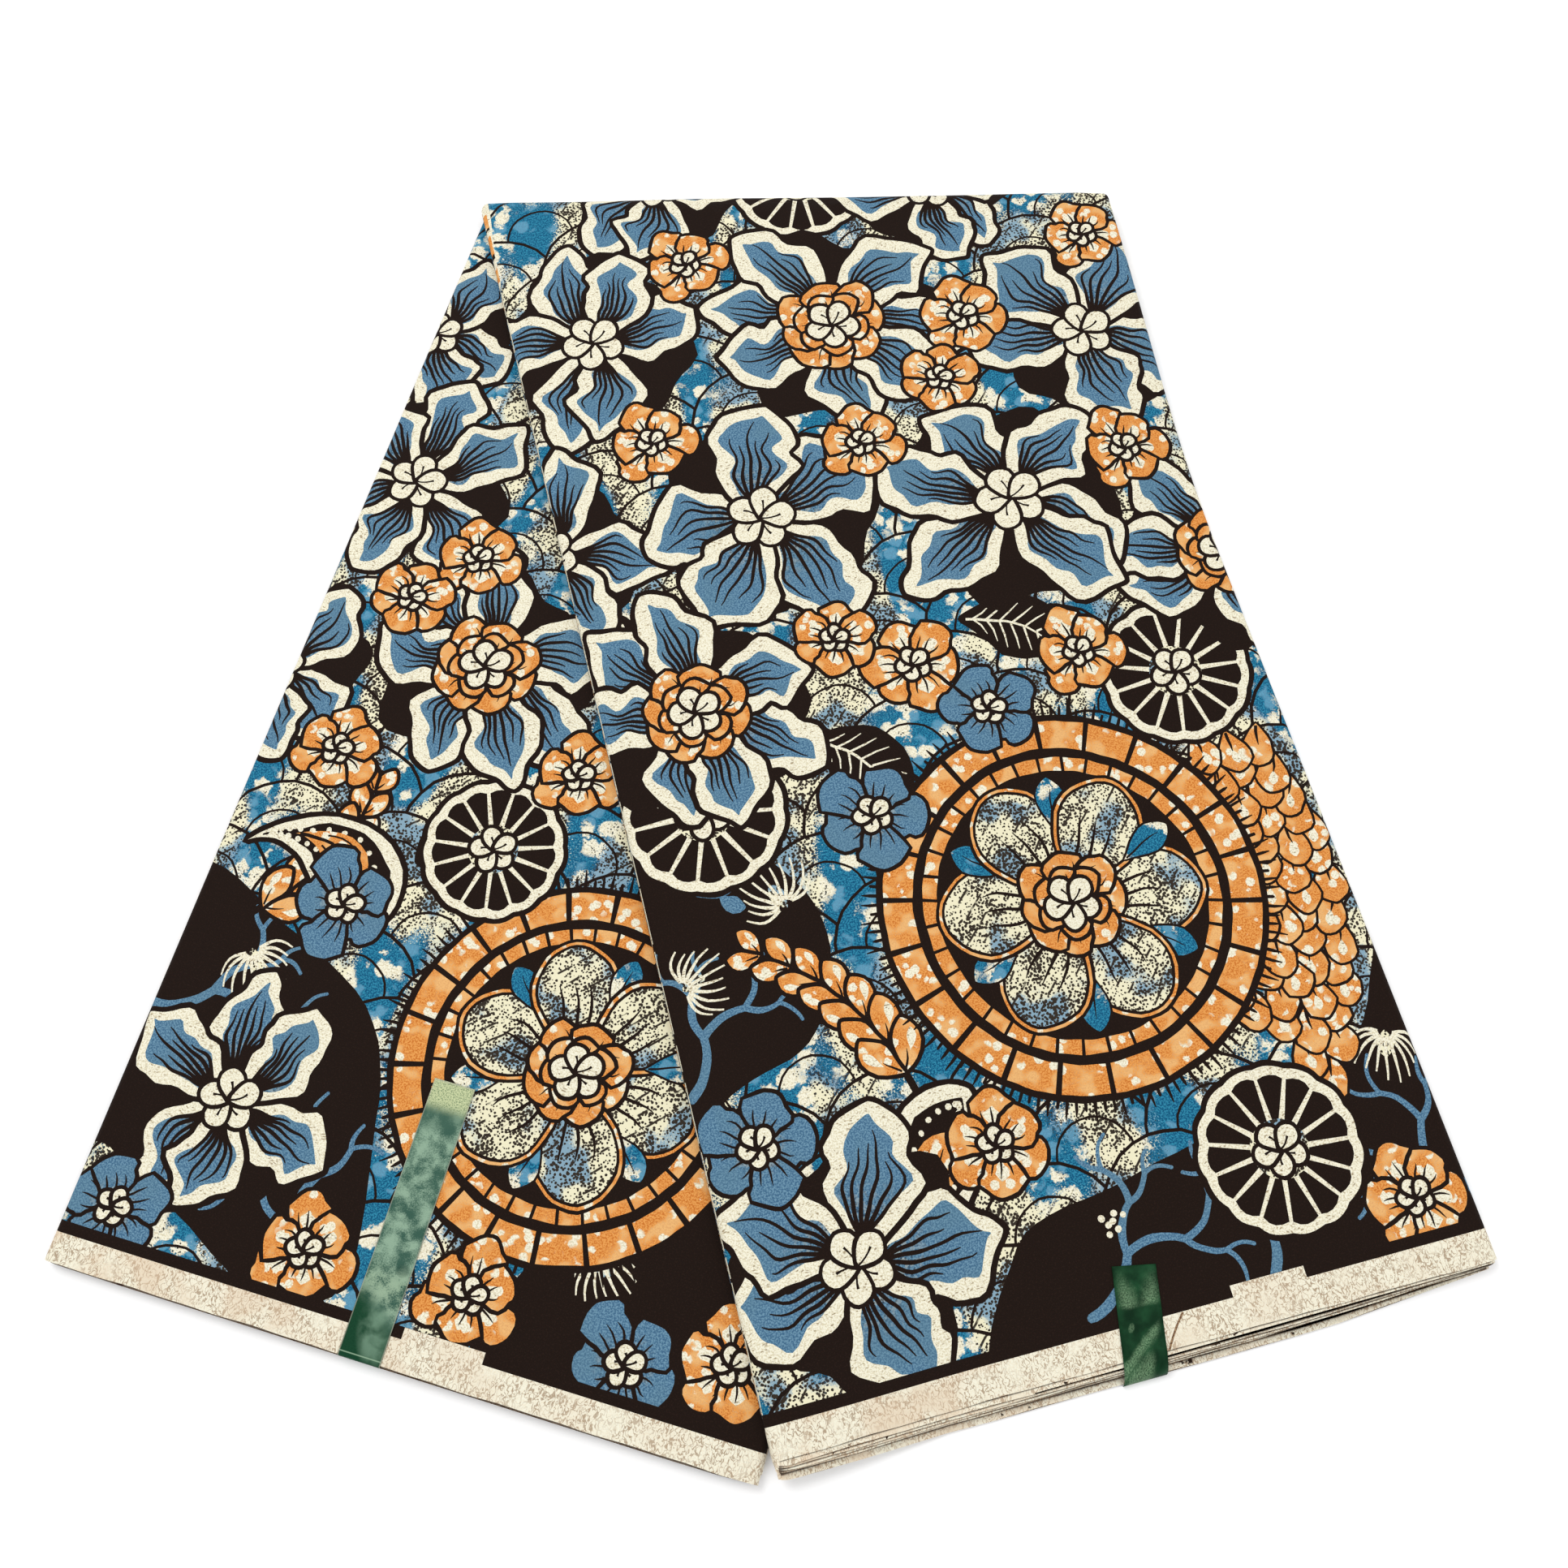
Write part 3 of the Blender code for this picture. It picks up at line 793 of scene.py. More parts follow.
def printed_sheet(outline, guides, shapes, keys):
    """The sheet cut only where its print changes: places, triangles, and each triangle's key.

    The first pass cuts it along every outline, hidden ones too. The second keeps the edges between
    unlike keys, and looks up each triangle's key in the first.
    """
    spots, triangles, owner = triangulated([outline, *shapes], [], [])
    key = np.array(keys)[owner]
    edges, of, same = sorted_edges(triangles)
    pairs = np.flatnonzero(same)
    unlike = pairs[key[of[pairs]] != key[of[pairs + 1]]]
    links = [spots[edge] for edge in edges[unlike]]
    loop = spots[boundary_loop(triangles)]
    fine_spots, fine, _ = triangulated([loop], [*links, *guides], grid(outline))
    flat = BVHTree.FromPolygons([(p.real / MM, p.imag / MM, 0.0) for p in spots], triangles.tolist())
    middles = fine_spots[fine].mean(axis=1) / MM
    down = Vector((0, 0, -1))
    found = [flat.ray_cast(Vector((p.real, p.imag, 1.0)), down)[2] for p in middles]
    return fine_spots, fine, np.array([key[i] if i is not None else 0 for i in found])


def add_attribute(mesh, name, kind, domain, values):
    """Stores a number or a vector for each point or face of a mesh."""
    data = mesh.attributes.new(name, kind, domain).data
    data.foreach_set("value" if kind == "FLOAT" else "vector", np.array(values, np.float32).ravel())


def add_object(name, mesh, materials, slots=None):
    """An object of a mesh in the scene, with the number of each face's material."""
    for material in materials:
        mesh.materials.append(material)
    if slots:
        mesh.polygons.foreach_set("material_index", np.array(slots, np.int32))
    made = bpy.data.objects.new(name, mesh)
    bpy.context.scene.collection.objects.link(made)
    return made


def looks_of(draw):
    """The unlike looks of a print, each an ink with its root and reach, and each outline's look."""
    looks, keys = [("ground", 0j, 1.0)], [0]
    for ink, _, root, reach in draw.shapes:
        look = (ink, root, reach) if ink == ROOTED else (ink, 0j, 1.0)
        if look not in looks:
            looks.append(look)
        keys.append(looks.index(look))
    return looks, keys


def rounded(spot):
    """A place to a tenth of a micrometre, by which the face's and the back's points are matched."""
    return round(spot.real, 7), round(spot.imag, 7)


def shell(name, draw):
    """The outer cloth of a leg: a printed face, a plain back one layer below it, and the cut edge."""
    leg, guides = draw.leg, guide_lines(draw.leg)
    looks, keys = looks_of(draw)
    shapes = [leg.plan(shape[1]) for shape in draw.shapes]
    spots, top, key = printed_sheet(sheet_outline(leg), guides, shapes, keys)
    loop = boundary_loop(top)
    back_spots, back, _ = triangulated([spots[loop]], guides, grid(spots[loop]))
    out, back_out = facing(leg, spots), facing(leg, back_spots)
    vertices = np.concatenate([bent(leg, spots), bent(leg, back_spots) - back_out * CLOTH])
    below = {rounded(spot): len(spots) + i for i, spot in enumerate(back_spots)}
    pairs = [(int(i), below[rounded(spots[i])]) for i in loop]
    sides = [(*near[::-1], *far) for near, far in zip(pairs, pairs[1:] + pairs[:1])]
    sheets = top.tolist() + (back[:, ::-1] + len(spots)).tolist()
    mesh = bpy.data.meshes.new(name)
    mesh.from_pydata(vertices.tolist(), [], sheets + sides)
    cloth = np.concatenate([leg.flat(spots), leg.flat(back_spots)])
    add_attribute(mesh, "cloth", "FLOAT_VECTOR", "POINT", [(c.real, c.imag, 0.0) for c in cloth])
    plain = [(0, 0, 1)] * (len(back) + len(sides))
    motif = [(looks[k][1].real, looks[k][1].imag, looks[k][2]) for k in key]
    add_attribute(mesh, "motif", "FLOAT_VECTOR", "FACE", motif + plain)
    inks = list(INKS)
    slots = [inks.index(looks[k][0]) for k in key]
    # The cut edges take the edge ink, whose brown is darkened as painted shade
    slots += [inks.index("ground")] * len(back) + [inks.index("edge")] * len(sides)
    made = add_object(name, mesh, INKS.values(), slots)
    mesh.shade_smooth()
    rim = {tuple(sorted(edge)) for face in sides for edge in zip(face, face[1:] + face[:1])}
    for edge in mesh.edges:
        edge.use_edge_sharp = tuple(sorted(edge.vertices)) in rim
    soft = np.concatenate([out, -back_out])
    corner_normals = [soft[v] for face in sheets for v in face]
    for face in sides:
        a, b, _, d = (vertices[v] for v in face)
        flat = np.cross(b - a, d - a)
        corner_normals += [flat / max(np.linalg.norm(flat), 1e-12)] * 4
    mesh.normals_split_custom_set([tuple(n) for n in corner_normals])
    return made


# Materials

TONE = 0.86                # the cloth's own brightness for what a picture shows of it in this light
ROOTED = "blue"            # the ink that is shaded from its motif's root

# Each paint's colours in the order of their names in its function, as the 0 to 255 values that a
# picture of the cloth shows in this light
SHADES = {
    "black": ((28, 16, 10), (44, 30, 24)),
    "blue": ((66, 106, 138), (112, 152, 176), (96, 132, 150), (186, 192, 182), (26, 22, 28)),
    "teal": ((10, 84, 122), (50, 140, 172), (116, 172, 200), (60, 62, 60)),
    "cream": ((252, 248, 226), (222, 212, 180), (160, 136, 100), (142, 118, 82)),
    "orange": ((238, 164, 86), (206, 118, 46), (246, 204, 140)),
    "mist": ((244, 238, 204), (138, 170, 188), (54, 46, 38)),
    "selvedge": ((255, 252, 232), (248, 238, 212), (164, 136, 106), (228, 198, 166)),
    # The edge colours: a cut edge's brown, darkened as painted shade for the gaps between layers
    "edge": ((92, 62, 44), (168, 138, 104)),
    # The layers' last colour is painted shade, laid where a leaf comes out from under the leaves above
    "layers": ((24, 14, 12), (86, 132, 168), (238, 224, 190), (222, 140, 62), (30, 110, 156),
               (190, 178, 156), (44, 30, 22), (58, 36, 26)),
    # The front tape's third colour is painted sheen
    "front tape": ((8, 42, 22), (30, 76, 46), (132, 168, 128)),
    # The rear tape's tenth and eleventh colours are painted highlights
    "rear tape": ((58, 94, 80), (146, 176, 152), (70, 104, 88), (126, 146, 108), (214, 222, 172),
                  (46, 78, 66), (158, 182, 152), (8, 44, 28), (30, 82, 54), (118, 152, 128),
                  (160, 190, 160), (196, 196, 176)),
}


def shades(paint):
    """A paint's colours, as the cloth's own linear ones."""
    def linear(value):
        value /= 255
        return TONE * (value / 12.92 if value <= 0.04045 else ((value + 0.055) / 1.055) ** 2.4)
    return [(*(linear(value) for value in shade), 1) for shade in SHADES[paint]]


class Field:
    """A number, vector or colour that a material's nodes work out at each point of the cloth."""

    def __init__(self, tree, socket=None):
        self.tree, self.socket = tree, socket

    def node(self, kind, inputs, out=0, **settings):
        """One output of a new shader node, with its inputs set or linked."""
        made = self.tree.nodes.new("ShaderNode" + kind)
        for key, value in settings.items():
            setattr(made, key, value)
        for key, value in inputs.items():
            if isinstance(value, Field):
                self.tree.links.new(value.socket, made.inputs[key])
            else:
                made.inputs[key].default_value = value
        return Field(self.tree, made.outputs[out])

    def maths(self, operation, other=0.0):
        """One sum on one or two numbers."""
        return self.node("Math", {0: self, 1: other}, operation=operation)

    def __add__(self, other):
        return self.maths("ADD", other)

    def __sub__(self, other):
        return self.maths("SUBTRACT", other)

    def __mul__(self, other):
        return self.maths("MULTIPLY", other)

    def __truediv__(self, other):
        return self.maths("DIVIDE", other)

    def __abs__(self):
        return self.maths("ABSOLUTE")

    def most(self, other):
        """The larger of two numbers."""
        return self.maths("MAXIMUM", other)

    def over(self, low, high, start, end, shape="LINEAR"):
        """The number carried from the range low to high into start to end."""
        return self.node("MapRange", {0: self, 1: low, 2: high, 3: start, 4: end}, interpolation_type=shape)

    def step(self, low, high):
        """A smooth step from 0 at low to 1 at high, which may lie below it."""
        return self.over(low, high, 0.0, 1.0, "SMOOTHSTEP")

    def broken(self, low, high, grain, amount):
        """The same step with an edge that breaks up in the grain."""
        return (self + (grain - 0.5) * amount).step(low, high)

    def blend(self, below, above):
        """The first colour where this number is 0 and the second where it is 1."""
        return self.node("Mix", {0: self, 6: below, 7: above}, 2, data_type="RGBA")

    def bands(self, stops):
        """Flat bands of colour, each from its place on."""
        made = self.node("ValToRGB", {0: self})
        ramp = made.socket.node.color_ramp
        ramp.interpolation = "CONSTANT"
        while len(ramp.elements) < len(stops):
            ramp.elements.new(0.5)
        for element, (place, shade) in zip(ramp.elements, stops):
            element.position = place
            element.color = shade
        return made

    def noise(self, size, detail=2.0, distortion=0.0, rough=0.5, out=0):
        """Noise with features of about size mm."""
        return self.node("TexNoise", {"Vector": self, "Scale": 1 / size, "Detail": detail, "Roughness": rough,
                                      "Distortion": distortion}, out)

    def cells(self, size, feature="F1"):
        """The distance from the nearest of scattered points about size mm apart."""
        return self.node("TexVoronoi", {"Vector": self, "Scale": 1 / size}, feature=feature)

    def waves(self, scale, distortion, way):
        """Even waves along a direction."""
        inputs = {"Vector": self, "Scale": scale, "Distortion": distortion, "Detail": 1.0}
        return self.node("TexWave", inputs, 1, wave_type="BANDS", bands_direction=way)

    def vector(self, operation, other):
        """One sum on two vectors."""
        return self.node("VectorMath", {0: self, 1: other}, operation=operation)

    def scaled(self, *factors):
        """The coordinates times a factor each."""
        return self.vector("MULTIPLY", factors)

    def warped(self, size, amount, offset=0.0):
        """The coordinates, shifted by an offset and pushed about by noise."""
        push = self.node("VectorMath", {0: self.noise(size, out=1), 3: amount}, operation="SCALE")
        return self.vector("ADD", push).vector("ADD", (offset, 1.7 * offset, 0.0))

    def parts(self):
        """The three numbers of a vector."""
        outputs = self.node("SeparateXYZ", {0: self}).socket.node.outputs
        return [Field(self.tree, output) for output in outputs]


def stored(tree, name, out=1):
    """The vector, or with out 2 the number, that the mesh stores under a name."""
    return Field(tree).node("Attribute", {}, out, attribute_name=name)


def new_material(name):
    """A material, its nodes and its shader."""
    material = bpy.data.materials.new(name)
    material.use_nodes = True
    return material, material.node_tree, material.node_tree.nodes["Principled BSDF"]


def dress(shader, colour, roughness, specular, height, bump, depth):
    """Links a shader's colour, roughness and bump, and sets its gloss."""
    normal = height.node("Bump", {"Strength": bump, "Distance": depth, "Height": height})
    for key, field in (("Base Color", colour), ("Roughness", roughness), ("Normal", normal)):
        field.tree.links.new(field.socket, shader.inputs[key])
    shader.inputs["Specular IOR Level"].default_value = specular


def cloth_material(name, paint, bump=0.35):
    """A printed cotton: paint gives its colour from the cloth's coordinates and grain."""
    material, tree, shader = new_material(name)
    coords = stored(tree, "cloth")
    grain = coords.noise(0.75, 2.0, 0.0, 0.6)
    threads = coords.waves(0.8, 0.6, "X") + coords.waves(0.8, 0.6, "Y")
    roughness = grain.over(0.3, 0.7, 0.66, 0.88)
    dress(shader, paint(coords, grain), roughness, 0.09, threads + grain * 1.6, bump, 0.06 * MM)
    shader.inputs["Sheen Weight"].default_value = 0.01
    shader.inputs["Sheen Roughness"].default_value = 0.5
    return material


def black_paint(coords, grain):
    """Brown black, a little uneven."""
    return grain.step(0.45, 0.80).blend(*shades("black"))


def blue_paint(coords, grain):
    """Steel blue with grain, stippled and hatched towards the motif's root."""
    dark, light, drift, fleck, dot = shades("blue")
    across, down, reach = stored(coords.tree, "motif").parts()
    root = across.node("CombineXYZ", {0: across, 1: down, 2: 0.0})
    from_root = coords.node("VectorMath", {0: coords, 1: root}, 1, operation="DISTANCE") / reach
    near = from_root.step(0.60, 0.14)
    base = grain.step(0.42, 0.60).blend(dark, light)
    base = (coords.noise(30.0).step(0.45, 0.65) * 0.35).blend(base, drift)
    base = (coords.noise(2.6).step(0.50, 0.60) * near * 0.7).blend(base, fleck)
    return (coords.cells(1.25).step(0.44, 0.32) * near).blend(base, dot)


def teal_paint(coords, grain):
    """Teal with paler blue blots and clusters of cream bubbles."""
    dark, light, blot, speck = shades("teal")
    base = grain.step(0.42, 0.60).blend(dark, light)
    blots = coords.warped(3.0, 3.0).cells(8.0).broken(0.50, 0.38, grain, 0.25)
    base = (blots * coords.noise(20.0).step(0.44, 0.50) * 0.6).blend(base, blot)
    shifted = coords.warped(2.4, 4.4, 31.0)
    clusters = shifted.noise(22.0).broken(0.47, 0.52, grain, 0.12)
    bubbles = shifted.cells(8.6).broken(0.56, 0.46, grain, 0.22) * clusters
    specks = coords.cells(1.3).step(0.36, 0.26) * coords.noise(7.0).step(0.46, 0.58)
    return bubbles.blend(base, specks.blend(pale_cream(coords, grain), speck))


def pale_cream(coords, grain):
    """Cream with a few fine tan marks."""
    light, shade, mark, _ = shades("cream")
    marks = coords.cells(3.2, "DISTANCE_TO_EDGE").step(0.035, 0.0) * coords.noise(5.0).step(0.50, 0.60) * 0.45
    return marks.blend(grain.step(0.44, 0.62).blend(light, shade), mark)


def cream_paint(coords, grain):
    """Cream with fine tan crackle and dashes."""
    dashes = coords.warped(9.0, 6.0).scaled(0.42, 1.0, 1.0).cells(1.15).step(0.32, 0.18)
    dashes = dashes * coords.noise(9.0).step(0.36, 0.50) * 0.75
    return dashes.blend(pale_cream(coords, grain), shades("cream")[-1])


def orange_paint(coords, grain):
    """Orange with darker grain and rounded cream splotches."""
    light, dark, pale = shades("orange")
    base = grain.step(0.43, 0.60).blend(light, dark)
    base = (coords.noise(9.0, 1.0, 0.2).broken(0.52, 0.62, grain, 0.5) * 0.55).blend(base, pale)
    shifted = coords.warped(2.6, 1.3, 17.0)
    clusters = shifted.noise(13.0).broken(0.45, 0.50, grain, 0.10)
    spots = shifted.cells(5.4).broken(0.42, 0.34, grain, 0.16) * clusters
    return spots.blend(base, pale_cream(coords, grain))


def mist_paint(coords, grain):
    """Cream densely stippled in black, in drifts and slanting hatches, with a breath of blue."""
    light, blue, dot = shades("mist")
    base = coords.noise(26.0).broken(0.50, 0.58, grain, 0.15).blend(light, blue)
    size = coords.noise(13.0).over(0.38, 0.62, 0.36, 0.60)
    stipple = (size - coords.warped(1.2, 0.6).cells(1.30)).step(-0.02, 0.06)
    hatch = coords.waves(0.075, 1.2, "DIAGONAL").step(0.90, 0.97) * coords.noise(8.0).step(0.50, 0.56)
    return stipple.most(hatch).blend(base, dot)


def ground_paint(coords, grain):
    """Teal that gives way to stippled cream in upright drifts."""
    misty = coords.scaled(1 / 30, 1 / 74, 1.0).noise(1.0, 1.0).broken(0.485, 0.515, grain, 0.22)
    return misty.blend(teal_paint(coords, grain), mist_paint(coords, grain))


def selvedge_paint(coords, grain):
    """Cream with the tan worm lines of a crinkled selvedge, warmer towards the left."""
    light, shade, worm, blush = shades("selvedge")
    crinkle = coords.scaled(1.25, 0.8, 1.0).noise(2.0, 1.0, 0.8)
    worms = abs(crinkle - 0.5).step(0.070, 0.015) * 0.80 * coords.noise(12.0).step(0.24, 0.54)
    base = worms.blend(grain.step(0.3, 0.75).blend(light, shade), worm)
    warm = coords.noise(20.0).step(0.40, 0.62) * coords.parts()[0].over(10.0, 230.0, 0.55, 0.12)
    return warm.blend(base, blush)


def edge_paint(coords, grain):
    """A cut edge's brown, darkened as painted shade for the narrow gaps between layers."""
    return grain.step(0.40, 0.60).blend(*shades("edge"))


# How the layers below are painted: mm from the hem to the top of their selvedge and of their border, and
# mm past the leaves above over which flecks fade and the painted shade clears
LAYER_SELVEDGE, LAYER_BORDER = 12.5, 17.4
FLECK_FADE, SHADE_FADE = (2.6, 1.8), (1.05, 0.25)


def layer_paint(coords, grain):
    """The print as it shows on the folded edges below, cream selvedge at the hems, and painted shade."""
    black, blue, cream, orange, teal, speck, fleck, shade = shades("layers")
    stops = ((0.0, black), (0.38, blue), (0.44, black), (0.49, cream), (0.52, orange), (0.56, black),
             (0.62, teal))
    base = coords.scaled(0.35, 1.0, 1.0).noise(11.0, 3.0).bands(stops)
    base = grain.step(0.58, 0.72).blend(base, speck)
    from_hem = stored(coords.tree, "from_hem", 2)
    base = from_hem.step(LAYER_BORDER + 0.1, LAYER_BORDER).blend(base, black)
    base = from_hem.step(LAYER_SELVEDGE + 0.1, LAYER_SELVEDGE).blend(base, selvedge_paint(coords, grain))
    emerged = stored(coords.tree, "emerged", 2) + grain * 0.5
    base = (coords.noise(6.0, 3.0).step(0.665, 0.69) * emerged.step(*FLECK_FADE)).blend(base, fleck)
    # Painted shade on each leaf where it comes out from under the leaves above
    return (emerged.step(*SHADE_FADE) * 0.88).blend(base, shade)


INKS = {
    "ground": cloth_material("ink_ground", ground_paint),
    "black": cloth_material("ink_black", black_paint),
    "blue": cloth_material("ink_steel_blue", blue_paint),
    "teal": cloth_material("ink_teal", teal_paint),
    "cream": cloth_material("ink_cream", cream_paint),
    "orange": cloth_material("ink_orange", orange_paint),
    "mist": cloth_material("ink_stippled", mist_paint),
    "selvedge": cloth_material("selvedge", selvedge_paint, 0.7),
    "edge": cloth_material("cut_edge", edge_paint),
}


# The layers inside, each leaf with how far it peeps out at each side and reaches at each hem, in mm

LEAF_COLUMNS = ("rear_left", "rear_right", "front_left", "front_right", "rear_hem", "front_hem")
LEAF_ROWS = [
    dict(zip(LEAF_COLUMNS, row)) for row in (
        (1.1, 0.3, -0.4, -1.2, -3.4, 2.2),
        (0.6, 0.5, -0.4, -1.2, -2.2, 3.3),
        (0.9, 0.2, -0.5, -1.2, -2.6, 4.3),
        (0.1, 0.4, -0.4, -1.2, -1.2, 5.2),
        (-0.4, -0.4, 0.1, -1.2, -1.6, 2.6),
        (-0.4, -0.4, 0.5, -1.2, -0.6, 1.5),
        (-0.5, -0.5, 0.8, -1.2, -1.0, 4.0),
        (-0.5, -0.5, 1.3, -1.2, 0.5, 8.4),
    )
]
LEAF_GAP = 0.00006
COVER = CLOTH + GAP / 3    # what the outer cloth takes of the stack
LEAF_THICKNESS = (STACK - CLOTH - GAP / 3) / len(LEAF_ROWS) - LEAF_GAP
HEM_TAPER = 0.55           # the share of a leaf's reach lost at the front hem's right end
HEM_EVEN = 0.70            # the share of the front hem, from its left end, where none is lost
HEM_CORNER = 0.007         # how far in from a side a leaf's hem is rounded off
CORNER_DEPTH = 2.5         # and by how many mm
# How far in q from the middle of the turn a leaf's reach at a hem comes in, and over how much
ENDING = (1.44, 0.06)
LEG_SECTIONS = [*np.linspace(0, 0.945, 42)[1:], 0.965, 0.985, 1.0]    # places down a leg, to its hem
TURN_SECTIONS = 12
SIDE_COLUMNS = (1.0, 2.2, 3.8, 6.0, 9.0)    # mm in from a side
MIDDLE_COLUMNS = 16
SIDE_POINTS = 5            # points round a leaf's side
LOWEST_SHADE = 0.5         # mm more of shade on the lowest leaf
CLEAR_OF_SHADE = 3.0       # mm past the leaves above at which a leaf's cloth is lit in full
FAR_FROM_HEM = 999.0       # stored round the turn, where no hem is near
LEAF_SHIFT = 40.0          # mm between the leaves in their paint, so that no two look the same


def section_ends(q):
    """The strip's left and right ends at q: -1 at the rear hem, 0 to 1 round the turn, 2 at the front hem."""
    if 0 <= q <= 1:
        return FOLD_LEFT, FOLD_LEFT + FOLD_WIDTH
    leg, share = (REAR, -q) if q < 0 else (FRONT, q - 1)
    way = -1j * leg.turn
    straight = STRIP_WIDTH / cos(leg.swing)
    run = max(0.0, 1 - leg.right * share / LOOSE_REACH)
    loose = (FOLD_WIDTH - straight) * run ** LOOSE_POWER
    return FOLD_LEFT + way * leg.left * share, FOLD_LEFT + straight + loose + way * leg.right * share


def kept_reach(leg, share):
    """The share of its reach that a leaf keeps at a place across a hem."""
    return 1 - HEM_TAPER * float(smooth(share, HEM_EVEN, 1 - HEM_EVEN)) if leg is FRONT else 1.0


def hem_reach(index, leg, share, width):
    """How far a leaf reaches past the outer cloth at a hem, in metres."""
    aside = min(share, 1 - share) * width
    corner = sqrt(1 - (1 - min(aside / HEM_CORNER, 1.0)) ** 2)
    uneven = 0.20 * sin(share * 41 + 3 * index) + 0.12 * sin(share * 97 + 5 * index)
    reach = LEAF_ROWS[index][f"{leg.name}_hem"] * kept_reach(leg, share)
    return (reach + uneven - CORNER_DEPTH * (1 - corner)) * MM


def upper_reach(index, leg, share):
    """How far the leaves above one reach past the outer cloth at a hem, in mm."""
    above = LEAF_ROWS[:index] if leg is FRONT else LEAF_ROWS[index + 1:]
    return max([0.0, *(row[f"{leg.name}_hem"] for row in above)]) * kept_reach(leg, share)


def leaf_outline(index, q, left, right):
    """The outline of a leaf's section at q: places on the plan, with heights off the stack's middle."""
    row, run = LEAF_ROWS[index], right - left
    width = abs(run)
    swap = float(smooth(q))
    lowest = -STACK / 2 + COVER * (1 - swap)
    highest = STACK / 2 - COVER * float(smooth(q, 0.0, 0.2))
    pitch = (highest - lowest) / len(LEAF_ROWS)
    middle = highest - pitch * (index + 0.5)
    half = min(LEAF_THICKNESS, pitch - LEAF_GAP) / 2
    rise = min(abs(middle) / (STACK / 2), 1.0)
    rings = []
    for side in ("left", "right"):
        peep = (row[f"rear_{side}"] * (1 - swap) + row[f"front_{side}"] * swap) * MM
        inset = SIDE_ROUND * (1 - sqrt(1 - rise * rise)) - peep
        rings.append([(inset + half * (1 - cos(turn)), middle + half * sin(turn))
                      for turn in np.linspace(pi / 2, -pi / 2, SIDE_POINTS)])
    beside = [[(side_ring[0][0] + c * MM) / width for c in SIDE_COLUMNS] for side_ring in rings]
    shares = [*beside[0], *np.linspace(0.05, 0.95, MIDDLE_COLUMNS), *(1 - s for s in beside[1][::-1])]
    outline = [(left + run / width * inset, height) for inset, height in rings[0][::-1]]
    outline += [(left + run * s, middle + half) for s in shares]
    outline += [(right - run / width * inset, height) for inset, height in rings[1]]
    outline += [(left + run * s, middle - half) for s in shares[::-1]]
    return outline


def leaf_section(index, q):
    """The points round one leaf at q."""
    left, right = section_ends(q)
    outline = leaf_outline(index, q, left, right)
    if 0 <= q <= 1:
        angle = pi * (q - 0.5)
        radii = [(place, TURN_RADIUS / 2 + height) for place, height in outline]
        return [(place.real, place.imag + radius * cos(angle), TURN_RADIUS + radius * sin(angle))
                for place, radius in radii]
    leg = REAR if q < 0 else FRONT
    ending = float(smooth(abs(q - 0.5), *ENDING))
    points = []
    for place, height in outline:
        if ending:
            share = min(max(((place - left) / (right - left)).real, 0.0), 1.0)
            place -= 1j * leg.turn * hem_reach(index, leg, share, abs(right - left)) * ending
        rest, up = (float(support(place)), height) if leg is FRONT else (0.0, -height)
        points.append((place.real, place.imag, rest + STACK / 2 + up))
    return points


def folded_layers():
    """The layers inside the stack: eight leaves, each of two layers, with rounded folds at the sides."""
    path = [-q for q in LEG_SECTIONS[::-1]]
    path += [*np.linspace(0, 1, TURN_SECTIONS), *(1 + q for q in LEG_SECTIONS)]
    vertices, faces, hems, emerged, coords = [], [], [], [], []
    for index, row in enumerate(LEAF_ROWS):
        first = len(vertices)
        for q in path:
            points = leaf_section(index, q)
            vertices += points
            leg = REAR if q < 0.5 else FRONT
            spots = leg.flat(np.array([complex(x, y) for x, y, _ in points]))
            below = leg.hem(spots.real) - spots.imag
            coords += [(s.real, s.imag, LEAF_SHIFT * index) for s in spots]
            hems += [FAR_FROM_HEM if 0 <= q <= 1 else b + row[f"{leg.name}_hem"] for b in below]
            # The emerged numbers: mm past the leaves above, which the layer paint turns into painted shade
            shade = LOWEST_SHADE if index == len(LEAF_ROWS) - 1 else 0.0
            shown = [-b - shade - upper_reach(index, leg, s.real * MM / STRIP_WIDTH)
                     for b, s in zip(below, spots)]
            for side in (0, len(points) // 2):
                shown[side:side + SIDE_POINTS] = [CLEAR_OF_SHADE] * SIDE_POINTS
            emerged += shown
        count, last = len(points), len(vertices) - len(points)
        for start in range(first, last, count):
            for j in range(count):
                a, b = start + j, start + (j + 1) % count
                faces.append((a, b, b + count, a + count))
        faces += [tuple(range(first, first + count))[::-1], tuple(range(last, last + count))]
    mesh = bpy.data.meshes.new("folded_layers")
    mesh.from_pydata(vertices, [], faces)
    add_attribute(mesh, "cloth", "FLOAT_VECTOR", "POINT", coords)
    add_attribute(mesh, "from_hem", "FLOAT", "POINT", hems)
    add_attribute(mesh, "emerged", "FLOAT", "POINT", emerged)
    # The leaves' end caps take the edge ink too, its brown darkened as painted shade
    materials = (cloth_material("layer_edges", layer_paint), INKS["edge"])
    made = add_object("folded_layers", mesh, materials, [int(len(face) > 4) for face in faces])
    mesh.shade_smooth()
    mesh.set_sharp_from_angle(angle=radians(50))
    return made


# The tapes, painted in mm: x from a tape's middle, y from the hem, and below 0 up the tape

def patch(x, y, at, size, turn=0.0):
    """A soft patch on a tape: 1 at its middle, 0 at its long and short radii."""
    off_x, off_y = x - at[0], y - at[1]
    along = off_x * (cos(turn) / size[0]) + off_y * (sin(turn) / size[0])
    aside = off_y * (cos(turn) / size[1]) - off_x * (sin(turn) / size[1])
    return (along * along + aside * aside).step(1.0, 0.15)


